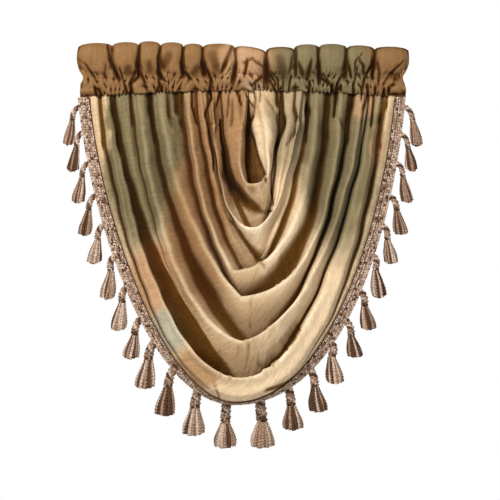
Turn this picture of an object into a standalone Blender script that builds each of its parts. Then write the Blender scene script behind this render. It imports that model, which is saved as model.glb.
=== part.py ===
"""Waterfall swag valance with a gathered rod-pocket heading, a woven braid and tassels.

Units are metres, with +Z up and +X to the right of someone who faces the valance. Its
front faces -Y. The origin is the middle of the heading's top edge, on the plane of the
rod's axis. Measures in the tables are millimetres.
"""

import math
import random
from collections import namedtuple

import bmesh
import bpy
from mathutils import Vector

MM = 0.001

# Driving dimensions
SWAG_THICKNESS = 1.8 * MM
# Where rows crowd at the throat, the sheet's offset is held to their spacing.
SWAG_CLAMP = 1.0
HEADING_WALL = 2.0 * MM
BRAID_THICKNESS = 3.0 * MM
PART_GAP = 0.4 * MM

SEAM_Z_MIDDLE = -111 * MM
SEAM_Z_SIDE = -127 * MM
SEAM_HALF_WIDTH = 372 * MM

STITCH_Z = -78 * MM
POCKET_HALF_DEPTH = 15 * MM
POCKET_GATHER = 1.2 * MM
PUFF_DEPTH = 17 * MM
BACK_SHARE = 0.5
PINCH_HALF_DEPTH = 3.0 * MM
CREASE_SHARE = 0.34
HEADER_NOTCH = 7 * MM
POCKET_WIDTH_SHARE = 0.98
STITCH_WIDTH_SHARE = 0.975
STITCH_REACH = 16 * MM

# How a fold line runs from the seam to its low point
SPREAD_AT_TOP = 0.25
FALL_AT_TOP = 0.436
COLUMNS_PER_HALF = 14
SIDE_DEPTH_AT = 0.25
LOW_DEPTH_FROM = 0.30

BRAID_OVERHANG = 3.0 * MM

TASSEL_SIDES = 8
TASSEL_FULL_WIDTH = 48
TASSEL_SLIMMEST = 0.62
TASSEL_ROOT_GAP = 0.6 * MM
TASSEL_LEAN = 10 * MM
TASSEL_LEAN_FROM = 250 * MM
NECK_SEARCH_RISE = 30 * MM
LOCK_PARTING = 0.5 * MM
LOCK_SHARE = 0.86
LOCK_LENGTH_SPREAD = 0.05

# Fold lines of the swag from its hem inwards: where each leaves the seam, where it
# passes two thirds of the way down, its low point, and how far forward it stands at
# the seam, on each side and at its low point. Steps is the rows up to the next line.
Fold = namedtuple("Fold", "name left_top left_mid low_x low_z right_mid right_top "
                          "at_seam at_left at_right at_low steps")
FOLDS = [
    Fold("hem", -375, -252, -18, -832, 258, 371, 2, 8, 8, 66, 2),
    Fold("trim edge", -354, -232, -16, -828, 236, 352, 5, 14, 14, 84, 1),
    Fold("first pleat", -341, -227, -14, -824, 231, 339, 12, 20, 20, 91, 1),
    Fold("first crease", -329, -221, -12, -820, 226, 325, 1, 17, 17, 96, 2),
    Fold("outer roll", -314, -213, -10, -813, 214, 312, 13, 42, 42, 103, 1),
    Fold("roll trough", -307, -204, 1, -793, 206, 306, 11, 37, 37, 99, 1),
    Fold("roll rim", -303, -196, -1, -774, 194, 300, 9, 34, 34, 108, 2),
    Fold("outer valley", -298, -186, -3, -789, 178, 293, 0, 12, 12, 76, 2),
    Fold("left pleat", -277, -175, -1, -745, 182, 289, 9, 34, 20, 88, 2),
    Fold("left crease", -258, -170, -1, -717, 187, 284, 3, 24, 29, 93, 2),
    Fold("fourth rim", -239, -164, -1, -690, 186, 279, 12, 42, 42, 99, 2),
    Fold("fourth valley", -216, -128, 17, -703, 160, 249, 0, 10, 10, 66, 3),
    Fold("third rim", -192, -120, -2, -588, 178, 231, 12, 40, 40, 85, 2),
    Fold("third valley", -141, -92, 6, -600, 146, 197, 0, 9, 9, 54, 2),
    Fold("second rim", -128, -90, -22, -530, 131, 174, 12, 40, 40, 73, 2),
    Fold("second valley", -107, -63, 17, -543, 97, 153, 2, 11, 11, 44, 2),
    Fold("inner pleat", -95, -52, 26, -517, 94, 147, 9, 26, 13, 52, 2),
    Fold("inner crease", -82, -41, 43, -501, 91, 141, 1, 8, 18, 38, 2),
    Fold("first rim", -69, -51, 26, -429, 97, 134, 11, 36, 36, 61, 1),
    Fold("rim crease", -64, -45, 31, -434, 92, 128, 7, 30, 22, 54, 1),
    Fold("rim pleat", -58, -38, 35, -438, 84, 107, 5, 22, 30, 47, 2),
    Fold("first valley", -50, -24, 38, -444, 71, 87, 0, 8, 8, 27, 3),
    Fold("apron", -32, -22, 46, -386, 67, 77, 9, 24, 24, 38, 3),
    Fold("throat rim", 8, -5, 20, -328, 59, 38, 14, 34, 34, 46, 1),
    Fold("throat tuck", 9, 1, 22, -340, 47, 34, 10, 24, 24, 36, 1),
    Fold("throat pleat", 10, 6, 23, -347, 34, 21, 6.5, 17, 17, 24, 1),
    Fold("throat back", 12, -1, 22, -356, 43, 30, 3, 4, 3, 8, 2),
    Fold("top", 14, 16, 20, -112, 24, 26, -1, -1, -1, -1, 0),
]
BRAID_ROWS = 2

# Puffs of the header from left to right: its right-hand crease and the height of its
# top at its left and right shoulder.
HEADER_LEFT = -383
Puff = namedtuple("Puff", "right top_left top_right fullness")
PUFFS = [
    Puff(-301, -2, -1, 1.0),
    Puff(-240, 0, 1, 0.9),
    Puff(-190, 3, 2, 0.9),
    Puff(-137, 0, 0, 0.85),
    Puff(-92, -3, -3, 0.8),
    Puff(-18, -3, -3, 1.05),
    Puff(55, -5, -16, 1.0),
    Puff(120, -11, -10, 0.95),
    Puff(177, -5, -4, 0.85),
    Puff(241, -3, -4, 0.95),
    Puff(305, -6, -8, 0.95),
    Puff(385, -9, -11, 1.0),
]
STATIONS_PER_PUFF = 4

# Section of the heading, from its seam up the front and down the back: how high each
# point is between two levels, and how far out it stands as a share of that part's depth.
Section = namedtuple("Section", "part rise out side")
HEADING_SECTION = [
    Section("pocket", 0.00, 0.00, -1),
    Section("pocket", 0.14, 0.80, -1),
    Section("pocket", 0.48, 1.00, -1),
    Section("pocket", 0.84, 0.85, -1),
    Section("header", 0.00, 0.00, -1),
    Section("header", 0.16, 0.62, -1),
    Section("header", 0.46, 1.00, -1),
    Section("header", 0.82, 0.86, -1),
    Section("header", 1.00, 0.00, -1),
    Section("header", 0.82, 0.80, 1),
    Section("header", 0.46, 1.00, 1),
    Section("header", 0.16, 0.60, 1),
    Section("header", 0.00, 0.00, 1),
    Section("pocket", 0.84, 0.85, 1),
    Section("pocket", 0.48, 1.00, 1),
    Section("pocket", 0.14, 0.80, 1),
]

# Tassels from the upper left round to the upper right: the middle and the top of the
# skirt, the skirt's length and its width at the bottom.
Tassel = namedtuple("Tassel", "x z length width")
TASSELS = [
    Tassel(-399, -182, 56, 28),
    Tassel(-389, -242, 57, 28),
    Tassel(-376, -313, 59, 30),
    Tassel(-361, -389, 58, 32),
    Tassel(-340, -458, 54, 34),
    Tassel(-309, -530, 64, 36),
    Tassel(-283, -603, 64, 38),
    Tassel(-254, -678, 54, 40),
    Tassel(-222, -734, 66, 48),
    Tassel(-176, -797, 66, 48),
    Tassel(-112, -846, 62, 52),
    Tassel(-40, -880, 57, 53),
    Tassel(46, -877, 59, 58),
    Tassel(115, -840, 55, 48),
    Tassel(171, -797, 57, 44),
    Tassel(210, -727, 62, 42),
    Tassel(256, -681, 47, 38),
    Tassel(287, -611, 54, 38),
    Tassel(312, -527, 64, 36),
    Tassel(340, -458, 54, 34),
    Tassel(362, -391, 54, 34),
    Tassel(376, -313, 58, 30),
    Tassel(388, -246, 52, 28),
    Tassel(399, -182, 58, 28),
]

# Rings of a tassel from its root to the top of its skirt: how far along the neck each
# is, and its half width and half depth.
Ring = namedtuple("Ring", "along half_width half_depth")
TASSEL_RINGS = [
    Ring(0.00, 9.5, 2.5),
    Ring(0.30, 10.5, 6.5),
    Ring(0.58, 9.5, 7.0),
    Ring(0.78, 12.0, 10.0),
    Ring(0.92, 10.0, 8.0),
    Ring(1.00, 12.5, 9.5),
]

CLOTH_COLOUR = (0.42, 0.33, 0.20)
HEADING_COLOUR = (0.34, 0.21, 0.11)
TRIM_COLOUR = (0.30, 0.21, 0.15)
TASSEL_COLOUR = (0.24, 0.16, 0.11)


def clear_scene():
    for thing in list(bpy.data.objects):
        bpy.data.objects.remove(thing)


def cloth_material(name, colour, roughness):
    material = bpy.data.materials.new(name)
    material.use_nodes = True
    shader = material.node_tree.nodes["Principled BSDF"]
    shader.inputs["Base Color"].default_value = (*colour, 1.0)
    shader.inputs["Roughness"].default_value = roughness
    shader.inputs["Metallic"].default_value = 0.0
    return material


def finish_object(bm, name, material, smooth=True):
    bmesh.ops.recalc_face_normals(bm, faces=bm.faces)
    mesh = bpy.data.meshes.new(name)
    bm.to_mesh(mesh)
    bm.free()
    if smooth:
        mesh.shade_smooth()
    mesh.materials.append(material)
    thing = bpy.data.objects.new(name, mesh)
    bpy.context.scene.collection.objects.link(thing)
    return thing


def smoothstep(low, high, value):
    share = min(max((value - low) / (high - low), 0.0), 1.0)
    return share * share * (3.0 - 2.0 * share)


def mix(first, second, share):
    return first + (second - first) * share


def seam_z(x):
    """Height of the seam between heading and swag: it dips towards both sides."""
    return mix(SEAM_Z_MIDDLE, SEAM_Z_SIDE, min(abs(x) / SEAM_HALF_WIDTH, 1.0) ** 2)


def fold_point(fold, across):
    """Point of a fold line at across, from 0 at its left top to 1 at its right top."""
    on_left = across <= 0.5
    down = 2.0 * across if on_left else 2.0 - 2.0 * across
    top_x = (fold.left_top if on_left else fold.right_top) * MM
    mid_x = (fold.left_mid if on_left else fold.right_mid) * MM
    low_x = fold.low_x * MM
    low_z = fold.low_z * MM
    top_z = seam_z(top_x) - PART_GAP
    near_x = top_x + SPREAD_AT_TOP * (mid_x - top_x)
    far_x = (8.0 * mid_x - top_x - low_x) / 3.0 - near_x
    near_z = top_z + FALL_AT_TOP * (low_z - top_z)
    up = 1.0 - down
    weights = (up ** 3, 3.0 * up * up * down, 3.0 * up * down * down, down ** 3)
    x = sum(w * v for w, v in zip(weights, (top_x, near_x, far_x, low_x)))
    z = sum(w * v for w, v in zip(weights, (top_z, near_z, low_z, low_z)))
    side = (fold.at_left if on_left else fold.at_right) * MM
    forward = mix(fold.at_seam * MM, side, smoothstep(0.0, SIDE_DEPTH_AT, down))
    forward = mix(forward, fold.at_low * MM, smoothstep(LOW_DEPTH_FROM, 1.0, down))
    return Vector((x, -forward, z))


def between(before, start, end, after, share):
    """Centripetal Catmull-Rom point between start and end."""
    knots = [0.0]
    for one, two in ((before, start), (start, end), (end, after)):
        knots.append(knots[-1] + max((two - one).length, 1e-6) ** 0.5)
    place = mix(knots[1], knots[2], share)

    def blend(one, two, low, high):
        return one.lerp(two, (place - low) / (high - low))

    first = blend(before, start, knots[0], knots[1])
    second = blend(start, end, knots[1], knots[2])
    third = blend(end, after, knots[2], knots[3])
    early = blend(first, second, knots[0], knots[2])
    late = blend(second, third, knots[1], knots[3])
    return blend(early, late, knots[1], knots[2])


def swag_column(across):
    """Points down one column of the swag, from the hem to its innermost line."""
    line = [fold_point(fold, across) for fold in FOLDS]
    line.insert(0, line[0] * 2.0 - line[1])
    line.append(line[-1] * 2.0 - line[-2])
    column = []
    for index, fold in enumerate(FOLDS):
        for step in range(fold.steps):
            column.append(between(*line[index:index + 4], step / fold.steps))
    column.append(line[-2])
    return column


def swag_columns():
    count = 2 * COLUMNS_PER_HALF
    return [swag_column(index / count) for index in range(count + 1)]


def moved_grid(columns):
    """A grid made by Blender whose points are moved to the columns given."""
    bm = bmesh.new()
    across = len(columns)
    down = len(columns[0])
    bmesh.ops.create_grid(bm, x_segments=across - 1, y_segments=down - 1, size=1.0)
    for vert in bm.verts:
        column = round((vert.co.x + 1.0) / 2.0 * (across - 1))
        row = round((vert.co.y + 1.0) / 2.0 * (down - 1))
        vert.co = columns[column][row]
    return bm


def build_swag(columns, material):
    bm = moved_grid(columns)
    thing = finish_object(bm, "swag", material)
    wall = thing.modifiers.new("cloth", "SOLIDIFY")
    wall.thickness = SWAG_THICKNESS
    wall.offset = 0.0
    wall.thickness_clamp = SWAG_CLAMP
    return thing


def braid_columns(columns):
    """The braid lies on the front of the swag's first rows and stands past its hem."""
    lift = SWAG_THICKNESS / 2.0 + PART_GAP + BRAID_THICKNESS / 2.0
    last = len(columns) - 1
    result = []
    for index, column in enumerate(columns):
        along = columns[min(index + 1, last)][0] - columns[max(index - 1, 0)][0]
        rows = column[:BRAID_ROWS + 1]
        inward = (rows[-1] - rows[0]).normalized()
        front = along.cross(inward).normalized()
        if front.y > 0.0:
            front.negate()
        points = [point + front * lift for point in rows]
        points.insert(0, points[0] - inward * BRAID_OVERHANG)
        result.append(points)
    return result


def build_braid(columns, material):
    bm = moved_grid(columns)
    thing = finish_object(bm, "braid", material)
    tape = thing.modifiers.new("tape", "SOLIDIFY")
    tape.thickness = BRAID_THICKNESS
    tape.offset = 0.0
    return thing


def puff_at(index):
    """Left and right crease of a puff, and the puff."""
    left = HEADER_LEFT if index == 0 else PUFFS[index - 1].right
    return left * MM, PUFFS[index].right * MM, PUFFS[index]


def heading_station(index, share):
    """Ring of points round the heading at a share of the way across one puff."""
    left, right, puff = puff_at(index)
    x = mix(left, right, share)
    bulge = math.sin(math.pi * share) ** 0.6
    top = mix(puff.top_left, puff.top_right, share) * MM - HEADER_NOTCH * (1.0 - bulge)
    depth = PUFF_DEPTH * puff.fullness * mix(CREASE_SHARE, 1.0, bulge)
    bottom = seam_z(x)
    ridge = 1.0 if round(share * STATIONS_PER_PUFF) % 2 else -1.0
    pocket = POCKET_HALF_DEPTH + POCKET_GATHER * ridge
    ring = []
    for point in HEADING_SECTION:
        back = BACK_SHARE if point.side > 0 else 1.0
        if point.part == "pocket":
            z = mix(bottom, STITCH_Z, point.rise)
            out = pocket * point.out
        else:
            z = mix(STITCH_Z, top, point.rise)
            out = max(depth * back * point.out, PINCH_HALF_DEPTH)
        if point.rise in (0.0, 1.0):
            out = PINCH_HALF_DEPTH if z == STITCH_Z else 0.0
        narrow = math.exp(-((z - STITCH_Z) / STITCH_REACH) ** 2)
        header = smoothstep(STITCH_Z - STITCH_REACH, STITCH_Z + STITCH_REACH, z)
        width = mix(POCKET_WIDTH_SHARE, 1.0, header) * mix(1.0, STITCH_WIDTH_SHARE, narrow)
        ring.append(Vector((x * width, point.side * out, z)))
    return ring


def heading_rings():
    rings = []
    for index in range(len(PUFFS)):
        for step in range(STATIONS_PER_PUFF):
            rings.append(heading_station(index, step / STATIONS_PER_PUFF))
    rings.append(heading_station(len(PUFFS) - 1, 1.0))
    return rings


def first_ring(bm, points):
    """A circle made by Blender whose points are moved to the ring given."""
    made = bmesh.ops.create_circle(bm, cap_ends=False, radius=1.0, segments=len(points))
    for vert, point in zip(made["verts"], points):
        vert.co = point
    return list(made["verts"]), list(bm.edges)


def next_ring(bm, verts, edges, points):
    """Extrudes a ring of edges and moves its new points to the next ring."""
    made = bmesh.ops.extrude_edge_only(bm, edges=edges)["geom"]
    new_edges = [item for item in made if isinstance(item, bmesh.types.BMEdge)]
    ends = set(item for item in made if isinstance(item, bmesh.types.BMVert))
    new_verts = []
    for vert in verts:
        partner = next(e.other_vert(vert) for e in vert.link_edges if e.other_vert(vert) in ends)
        new_verts.append(partner)
    for vert, point in zip(new_verts, points):
        vert.co = point
    return new_verts, new_edges


def build_heading(material):
    bm = bmesh.new()
    rings = heading_rings()
    verts, edges = first_ring(bm, rings[0])
    for ring in rings[1:]:
        verts, edges = next_ring(bm, verts, edges, ring)
    thing = finish_object(bm, "heading", material)
    wall = thing.modifiers.new("cloth", "SOLIDIFY")
    wall.thickness = HEADING_WALL
    wall.offset = -1.0
    return thing


def hem_edge(braid):
    """Outer edge of the braid, and which way is out of it, for each straight of it."""
    straights = []
    for column, after in zip(braid, braid[1:]):
        inward = column[1] + after[1] - column[0] - after[0]
        run = (after[0] - column[0]).normalized()
        out = run * inward.dot(run) - inward
        straights.append((column[0], after[0], out.normalized()))
    return straights


def tassel_root(braid, target):
    """Point of the braid's outer edge nearest to the target, seen from the front."""
    best = None
    for start, end, out in hem_edge(braid):
        run = end - start
        flat = Vector((run.x, 0.0, run.z))
        share = (target - start).dot(flat) / flat.length_squared
        share = min(max(share, 0.0), 1.0)
        point = start + run * share
        distance = Vector((point.x - target.x, 0.0, point.z - target.z)).length
        if best is None or distance < best[0]:
            best = (distance, point, out)
    return best[1], best[2]


def ellipse_ring(centre, heading, half_width, half_depth):
    """Ring of points across the neck, its width square to the heading and to Y."""
    wide = heading.cross(Vector((0.0, 1.0, 0.0))).normalized()
    deep = wide.cross(heading).normalized()
    ring = []
    for index in range(TASSEL_SIDES):
        turn = 2.0 * math.pi * (index + 0.5) / TASSEL_SIDES
        offset = wide * (math.cos(turn) * half_width) + deep * (math.sin(turn) * half_depth)
        ring.append(centre + offset)
    return ring


def curve_point(start, bend, end, share):
    """Point and heading on the neck's curve from its root to the skirt's top."""
    rest = 1.0 - share
    point = start * rest * rest + bend * 2.0 * rest * share + end * share * share
    heading = (bend - start) * rest + (end - bend) * share
    return point, heading.normalized()


def pull_locks(bm, cap, axis_top, axis_bottom, spread, rng):
    """Parts the cap into one face for each lock, and draws each face down as a lock."""
    bmesh.ops.inset_individual(bm, faces=cap, thickness=LOCK_PARTING, use_even_offset=True)
    tips = bmesh.ops.extrude_discrete_faces(bm, faces=cap)["faces"]
    for face in tips:
        middle = face.calc_center_median()
        fall = (axis_bottom - axis_top) * (1.0 + rng.uniform(-1.0, 1.0) * LOCK_LENGTH_SPREAD)
        for vert in face.verts:
            own = middle + (vert.co - middle) * LOCK_SHARE
            vert.co = axis_top + (own - axis_top) * spread + fall


def build_tassel(number, row, braid, material, rng):
    side = math.copysign(smoothstep(0.0, TASSEL_LEAN_FROM, abs(row.x) * MM), row.x)
    lean = TASSEL_LEAN * side
    top = Vector((row.x * MM - lean / 2.0, 0.0, row.z * MM))
    root, out = tassel_root(braid, top + Vector((0.0, 0.0, NECK_SEARCH_RISE)))
    start = root + out * TASSEL_ROOT_GAP
    reach = (top.xz - start.xz).length
    top.y = start.y + out.y * reach / 3.0
    bend = start + out * reach * 0.45
    bottom = Vector((row.x * MM + lean / 2.0, top.y, (row.z - row.length) * MM))
    bm = bmesh.new()
    verts = edges = None
    girth = max(row.width / TASSEL_FULL_WIDTH, TASSEL_SLIMMEST) * MM
    for ring in TASSEL_RINGS:
        centre, heading = curve_point(start, bend, top, ring.along)
        points = ellipse_ring(centre, heading, ring.half_width * girth, ring.half_depth * girth)
        if verts is None:
            verts, edges = first_ring(bm, points)
            root_edges = list(edges)
        else:
            verts, edges = next_ring(bm, verts, edges, points)
    bmesh.ops.contextual_create(bm, geom=root_edges)
    cap = bmesh.ops.contextual_create(bm, geom=edges)["faces"]
    bmesh.ops.recalc_face_normals(bm, faces=bm.faces)
    cap = bmesh.ops.poke(bm, faces=cap)["faces"]
    flats = TASSEL_RINGS[-1].half_width * girth * math.cos(math.pi / TASSEL_SIDES)
    spread = row.width * MM / (2.0 * flats)
    pull_locks(bm, cap, top, bottom, spread, rng)
    return finish_object(bm, f"tassel_{number:02d}", material, smooth=False)


def main():
    clear_scene()
    cloth = cloth_material("satin", CLOTH_COLOUR, 0.45)
    heading_cloth = cloth_material("heading_satin", HEADING_COLOUR, 0.5)
    trim = cloth_material("woven_trim", TRIM_COLOUR, 0.85)
    yarn = cloth_material("tassel_yarn", TASSEL_COLOUR, 0.8)
    columns = swag_columns()
    build_swag(columns, cloth)
    build_heading(heading_cloth)
    braid = braid_columns(columns)
    build_braid(braid, trim)
    rng = random.Random(24)
    for number, row in enumerate(TASSELS, start=1):
        build_tassel(number, row, braid, yarn, rng)


main()
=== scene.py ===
"""Waterfall swag valance: its dyed satin, gathered heading, woven braid and tassels.

Laid out as an add-on and run as a script. The tables are in millimetres, and everything
else is in metres, with Z up and the front facing -Y.
"""

import math
import random
from collections import namedtuple

import bmesh
import bpy
import numpy as np
from bpy.props import FloatProperty, FloatVectorProperty, IntProperty, PointerProperty
from mathutils import Matrix, Vector


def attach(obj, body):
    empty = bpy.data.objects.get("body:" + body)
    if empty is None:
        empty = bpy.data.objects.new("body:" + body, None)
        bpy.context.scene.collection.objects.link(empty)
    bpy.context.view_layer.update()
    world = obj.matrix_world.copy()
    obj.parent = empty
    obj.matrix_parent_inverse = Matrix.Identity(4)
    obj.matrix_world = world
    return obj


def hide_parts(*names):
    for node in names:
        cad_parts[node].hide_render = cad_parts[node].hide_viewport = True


bl_info = {
    "name": "Waterfall Swag Valance",
    "version": (1, 0, 0),
    "blender": (4, 5, 0),
    "location": "View3D > Sidebar > Valance",
    "description": "Dyed satin swag with a gathered heading, a woven braid and tassels",
    "category": "Object",
}

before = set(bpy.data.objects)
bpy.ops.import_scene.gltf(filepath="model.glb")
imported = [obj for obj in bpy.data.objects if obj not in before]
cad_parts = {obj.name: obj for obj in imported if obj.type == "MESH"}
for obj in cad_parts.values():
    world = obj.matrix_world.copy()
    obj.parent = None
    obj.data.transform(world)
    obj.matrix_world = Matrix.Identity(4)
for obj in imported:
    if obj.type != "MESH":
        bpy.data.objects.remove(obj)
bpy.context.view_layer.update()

MM = 0.001

# Sizes shared with the solids
PART_GAP = 0.4 * MM
SEAM_Z_MIDDLE = -111 * MM
SEAM_Z_SIDE = -127 * MM
SEAM_HALF_WIDTH = 372 * MM
STITCH_Z = -78 * MM
POCKET_HALF_DEPTH = 15 * MM
PUFF_DEPTH = 17 * MM
BACK_SHARE = 0.5
PINCH_HALF_DEPTH = 3.0 * MM
CREASE_SHARE = 0.34
HEADER_NOTCH = 7 * MM
POCKET_WIDTH_SHARE = 0.98
STITCH_WIDTH_SHARE = 0.975
STITCH_REACH = 16 * MM
SPREAD_AT_TOP = 0.25
FALL_AT_TOP = 0.436
SIDE_DEPTH_AT = 0.25
LOW_DEPTH_FROM = 0.30
BRAID_ROWS = 2
BRAID_OVERHANG = 3.0 * MM

# Fold lines of the swag from its hem inwards: where each leaves the seam, where it
# passes two thirds of the way down, its low point, and how far forward it stands at
# the seam, on each side and at its low point. Steps is the rows up to the next line.
Fold = namedtuple("Fold", "name left_top left_mid low_x low_z right_mid right_top "
                          "at_seam at_left at_right at_low steps")
FOLDS = [
    Fold("hem", -375, -252, -18, -832, 258, 371, 2, 8, 8, 66, 2),
    Fold("trim edge", -354, -232, -16, -828, 236, 352, 5, 14, 14, 84, 1),
    Fold("first pleat", -341, -227, -14, -824, 231, 339, 12, 20, 20, 91, 1),
    Fold("first crease", -329, -221, -12, -820, 226, 325, 1, 17, 17, 96, 2),
    Fold("outer roll", -314, -216, -10, -813, 214, 312, 13, 42, 42, 103, 1),
    Fold("roll trough", -307, -209, 1, -793, 206, 306, 11, 37, 37, 99, 1),
    Fold("roll rim", -303, -203, -1, -774, 194, 300, 9, 34, 34, 108, 2),
    Fold("outer valley", -298, -194, -3, -789, 178, 293, 0, 12, 12, 76, 2),
    Fold("left pleat", -277, -175, -1, -745, 182, 289, 9, 34, 20, 88, 2),
    Fold("left crease", -258, -170, -1, -717, 187, 284, 3, 24, 29, 93, 2),
    Fold("fourth rim", -239, -164, -1, -690, 186, 279, 12, 42, 42, 99, 2),
    Fold("fourth valley", -216, -128, 17, -703, 167, 249, 0, 10, 10, 66, 3),
    Fold("third rim", -192, -120, -2, -588, 178, 231, 12, 40, 40, 85, 2),
    Fold("third valley", -141, -92, 6, -600, 155, 197, 0, 9, 9, 54, 2),
    Fold("second rim", -128, -90, -22, -530, 131, 174, 12, 40, 40, 73, 2),
    Fold("second valley", -107, -63, 17, -543, 107, 153, 2, 11, 11, 44, 2),
    Fold("inner pleat", -95, -52, 26, -517, 100, 147, 9, 26, 13, 52, 2),
    Fold("inner crease", -82, -41, 43, -501, 91, 141, 1, 8, 18, 38, 2),
    Fold("first rim", -69, -51, 26, -429, 97, 134, 11, 36, 36, 61, 1),
    Fold("rim crease", -64, -45, 31, -434, 92, 128, 7, 30, 22, 54, 1),
    Fold("rim pleat", -58, -38, 35, -438, 84, 107, 5, 22, 30, 47, 2),
    Fold("first valley", -50, -24, 38, -444, 71, 87, 0, 8, 8, 27, 3),
    Fold("apron", -32, -22, 46, -386, 67, 77, 9, 24, 24, 38, 3),
    Fold("throat rim", 8, -5, 20, -328, 59, 38, 14, 34, 34, 46, 1),
    Fold("throat tuck", 9, 1, 24, -340, 52, 32, 10, 24, 24, 36, 1),
    Fold("throat pleat", 10, 5, 28, -346, 38, 18, 6.5, 17, 17, 24, 1),
    Fold("throat back", 12, -1, 33, -354, 27, 15, 3, 4, 3, 8, 2),
    Fold("top", 12, 12, 13, -112, 14, 15, -1, -1, -1, -1, 0),
]

# Steps of the swag's grid along its folds, and its rows for each fold step
SWAG_COLUMNS = 320
ROWS_PER_STEP = 3

# The seam holds the folds flat: the share of their depth that is left there, and the
# drop below it over which they open
SEAM_FLATNESS = 0.3
SEAM_OPENS = (-8 * MM, 34 * MM)

# The swag's upper edge is drawn up into the seam: by so much there, and less down to this
# drop below it
TUCK_RISE = 3 * MM
TUCK_DROP = 14 * MM

# The seam's small gathers: how strong they are, the drop in which they die out, and how
# far they drift aside on their way down. The length of a slow wave, here and below, is
# the distance in which it turns by a radian.
SEAM_GATHER = 1.4
GATHER_DROP = 45 * MM
GATHER_DRIFT = 0.08
GATHER_DRIFT_LENGTH = 37 * MM

# Rows in from the hem over which gathers and wander set in: the hem itself runs true
# under its braid
GATHER_ROWS = (6, 14)
WANDER_ROWS = (5, 12)

# How far the cloth strays aside and outward from its smooth folds, and the drop below
# the seam over which it begins to
WANDER_ASIDE = 1.3 * MM
WANDER_OUTWARD = 1.6 * MM
WANDER_DROP = (10 * MM, 90 * MM)

# Slow waves that make the gathers uneven: the length of each in millimetres, how far it
# shifts their turn, and its own phase
GATHER_SHIFTS = ((31, 0.55, 0.0), (13, 0.4, 1.7))

# Puffs of the header, from its left end on: the right-hand crease of each, the height of
# its top at its left and right shoulder, and how full it stands
HEADER_LEFT = -383
Puff = namedtuple("Puff", "right top_left top_right fullness")
PUFFS = [
    Puff(-301, -2, -1, 1.0),
    Puff(-240, 0, 1, 0.9),
    Puff(-190, 3, 2, 0.9),
    Puff(-137, 0, 0, 0.85),
    Puff(-92, -3, -3, 0.8),
    Puff(-18, -3, -3, 1.05),
    Puff(55, -5, -16, 1.0),
    Puff(120, -11, -10, 0.95),
    Puff(177, -5, -4, 0.85),
    Puff(241, -3, -4, 0.95),
    Puff(305, -6, -8, 0.95),
    Puff(385, -9, -11, 1.0),
]

# Steps of the heading's grid across a puff, and between two points of its section
STATIONS_PER_PUFF = 44
RING_STEPS = 5

# Share of a puff's width that lies in each of its creases, how much more at its waist,
# the rise of its section over which the waist opens, and the power of a sine that rounds
# it, which makes it flatter the smaller it is
CREASE_GAP = 0.035
PUFF_WAIST = 0.11
WAIST_OPENS = (0.1, 0.7)
PUFF_ROUNDNESS = 0.42

# Least half depth of the heading's front, and the share of the gathers on its back
LEAST_HALF_DEPTH = 1.2 * MM
BACK_GATHER_SHARE = 0.6

# The heading's small gathers fan out above the stitches and cross the whole pocket: how
# strong they are in each, the rise in which they die out above the stitches, the height
# over which they change at the stitches and the one over which they end at the seam
FAN_GATHER = 1.5
FAN_RISE = 15 * MM
POCKET_GATHER = 1.7
STITCH_BLEND = 5 * MM
SEAM_EDGE = 4 * MM

# The two sets of gathers that cross there: how far each leans aside as it rises, where it
# starts and its pitch, as a share of the pitch of the swag's gathers
LEANING_GATHERS = ((0.30, 0.0, 1.2), (-0.42, 5 * MM, 1.45))

# Both sway as they rise, and swell and fade along the heading
GATHER_SWAY = 0.5
GATHER_SWAY_LENGTH = 19 * MM
SWELL_MEAN = 0.8
SWELL = 0.35
SWELL_LENGTH = 29 * MM

# The pocket's lower edge is scalloped by the first of them: the height over which, how
# far it falls on the whole, and how far more or less with the gathers
SCALLOP_RISE = (16 * MM, 3 * MM)
SCALLOP_FALL = 2.5 * MM
SCALLOP_DEPTH = 3.5 * MM

# Painted shade between the gathers: how high on their wave it ends, how fast it deepens,
# and the most that it comes to
GATHER_SHADE_BELOW = 0.3
GATHER_SHADE = 0.75
GATHER_SHADE_MOST = 0.9

# Painted shade in the creases between the puffs: how dark it is, the half depths between
# which it fades, and where it sets in above the stitches and ends below the header's top
GROOVE_SHADE = 0.65
GROOVE_HALF_DEPTHS = (4 * MM, 8 * MM)
GROOVE_RISE = (8 * MM, 20 * MM)
GROOVE_TOP = (-4 * MM, -16 * MM)

# Share of the painted shade of the listed creases that is left high up in the header, and
# the heights between which it lessens
HIGH_SHADE_SHARE = 0.78
HIGH_Z = (-58 * MM, -30 * MM)

# The header's rounded upper corner at both ends: how far its edge is drawn in, how far
# down it reaches, and the distance from the middle over which it sets in
END_CORNER = 13 * MM
END_CORNER_RISE = 34 * MM
END_CORNER_FROM = 320 * MM
END_CORNER_TO = 383 * MM

# Section of the heading, from its seam up the front, side -1, and down the back, side 1:
# how high each point is between the part's two levels, and how far out it stands as a
# share of that part's depth
Section = namedtuple("Section", "part rise out side")
HEADING_SECTION = [
    Section("pocket", 0.00, 0.00, -1),
    Section("pocket", 0.14, 0.80, -1),
    Section("pocket", 0.48, 1.00, -1),
    Section("pocket", 0.84, 0.85, -1),
    Section("header", 0.00, 0.00, -1),
    Section("header", 0.16, 0.62, -1),
    Section("header", 0.46, 1.00, -1),
    Section("header", 0.82, 0.86, -1),
    Section("header", 1.00, 0.00, -1),
    Section("header", 0.82, 0.80, 1),
    Section("header", 0.46, 1.00, 1),
    Section("header", 0.16, 0.60, 1),
    Section("header", 0.00, 0.00, 1),
    Section("pocket", 0.84, 0.85, 1),
    Section("pocket", 0.48, 1.00, 1),
    Section("pocket", 0.14, 0.80, 1),
]
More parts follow.
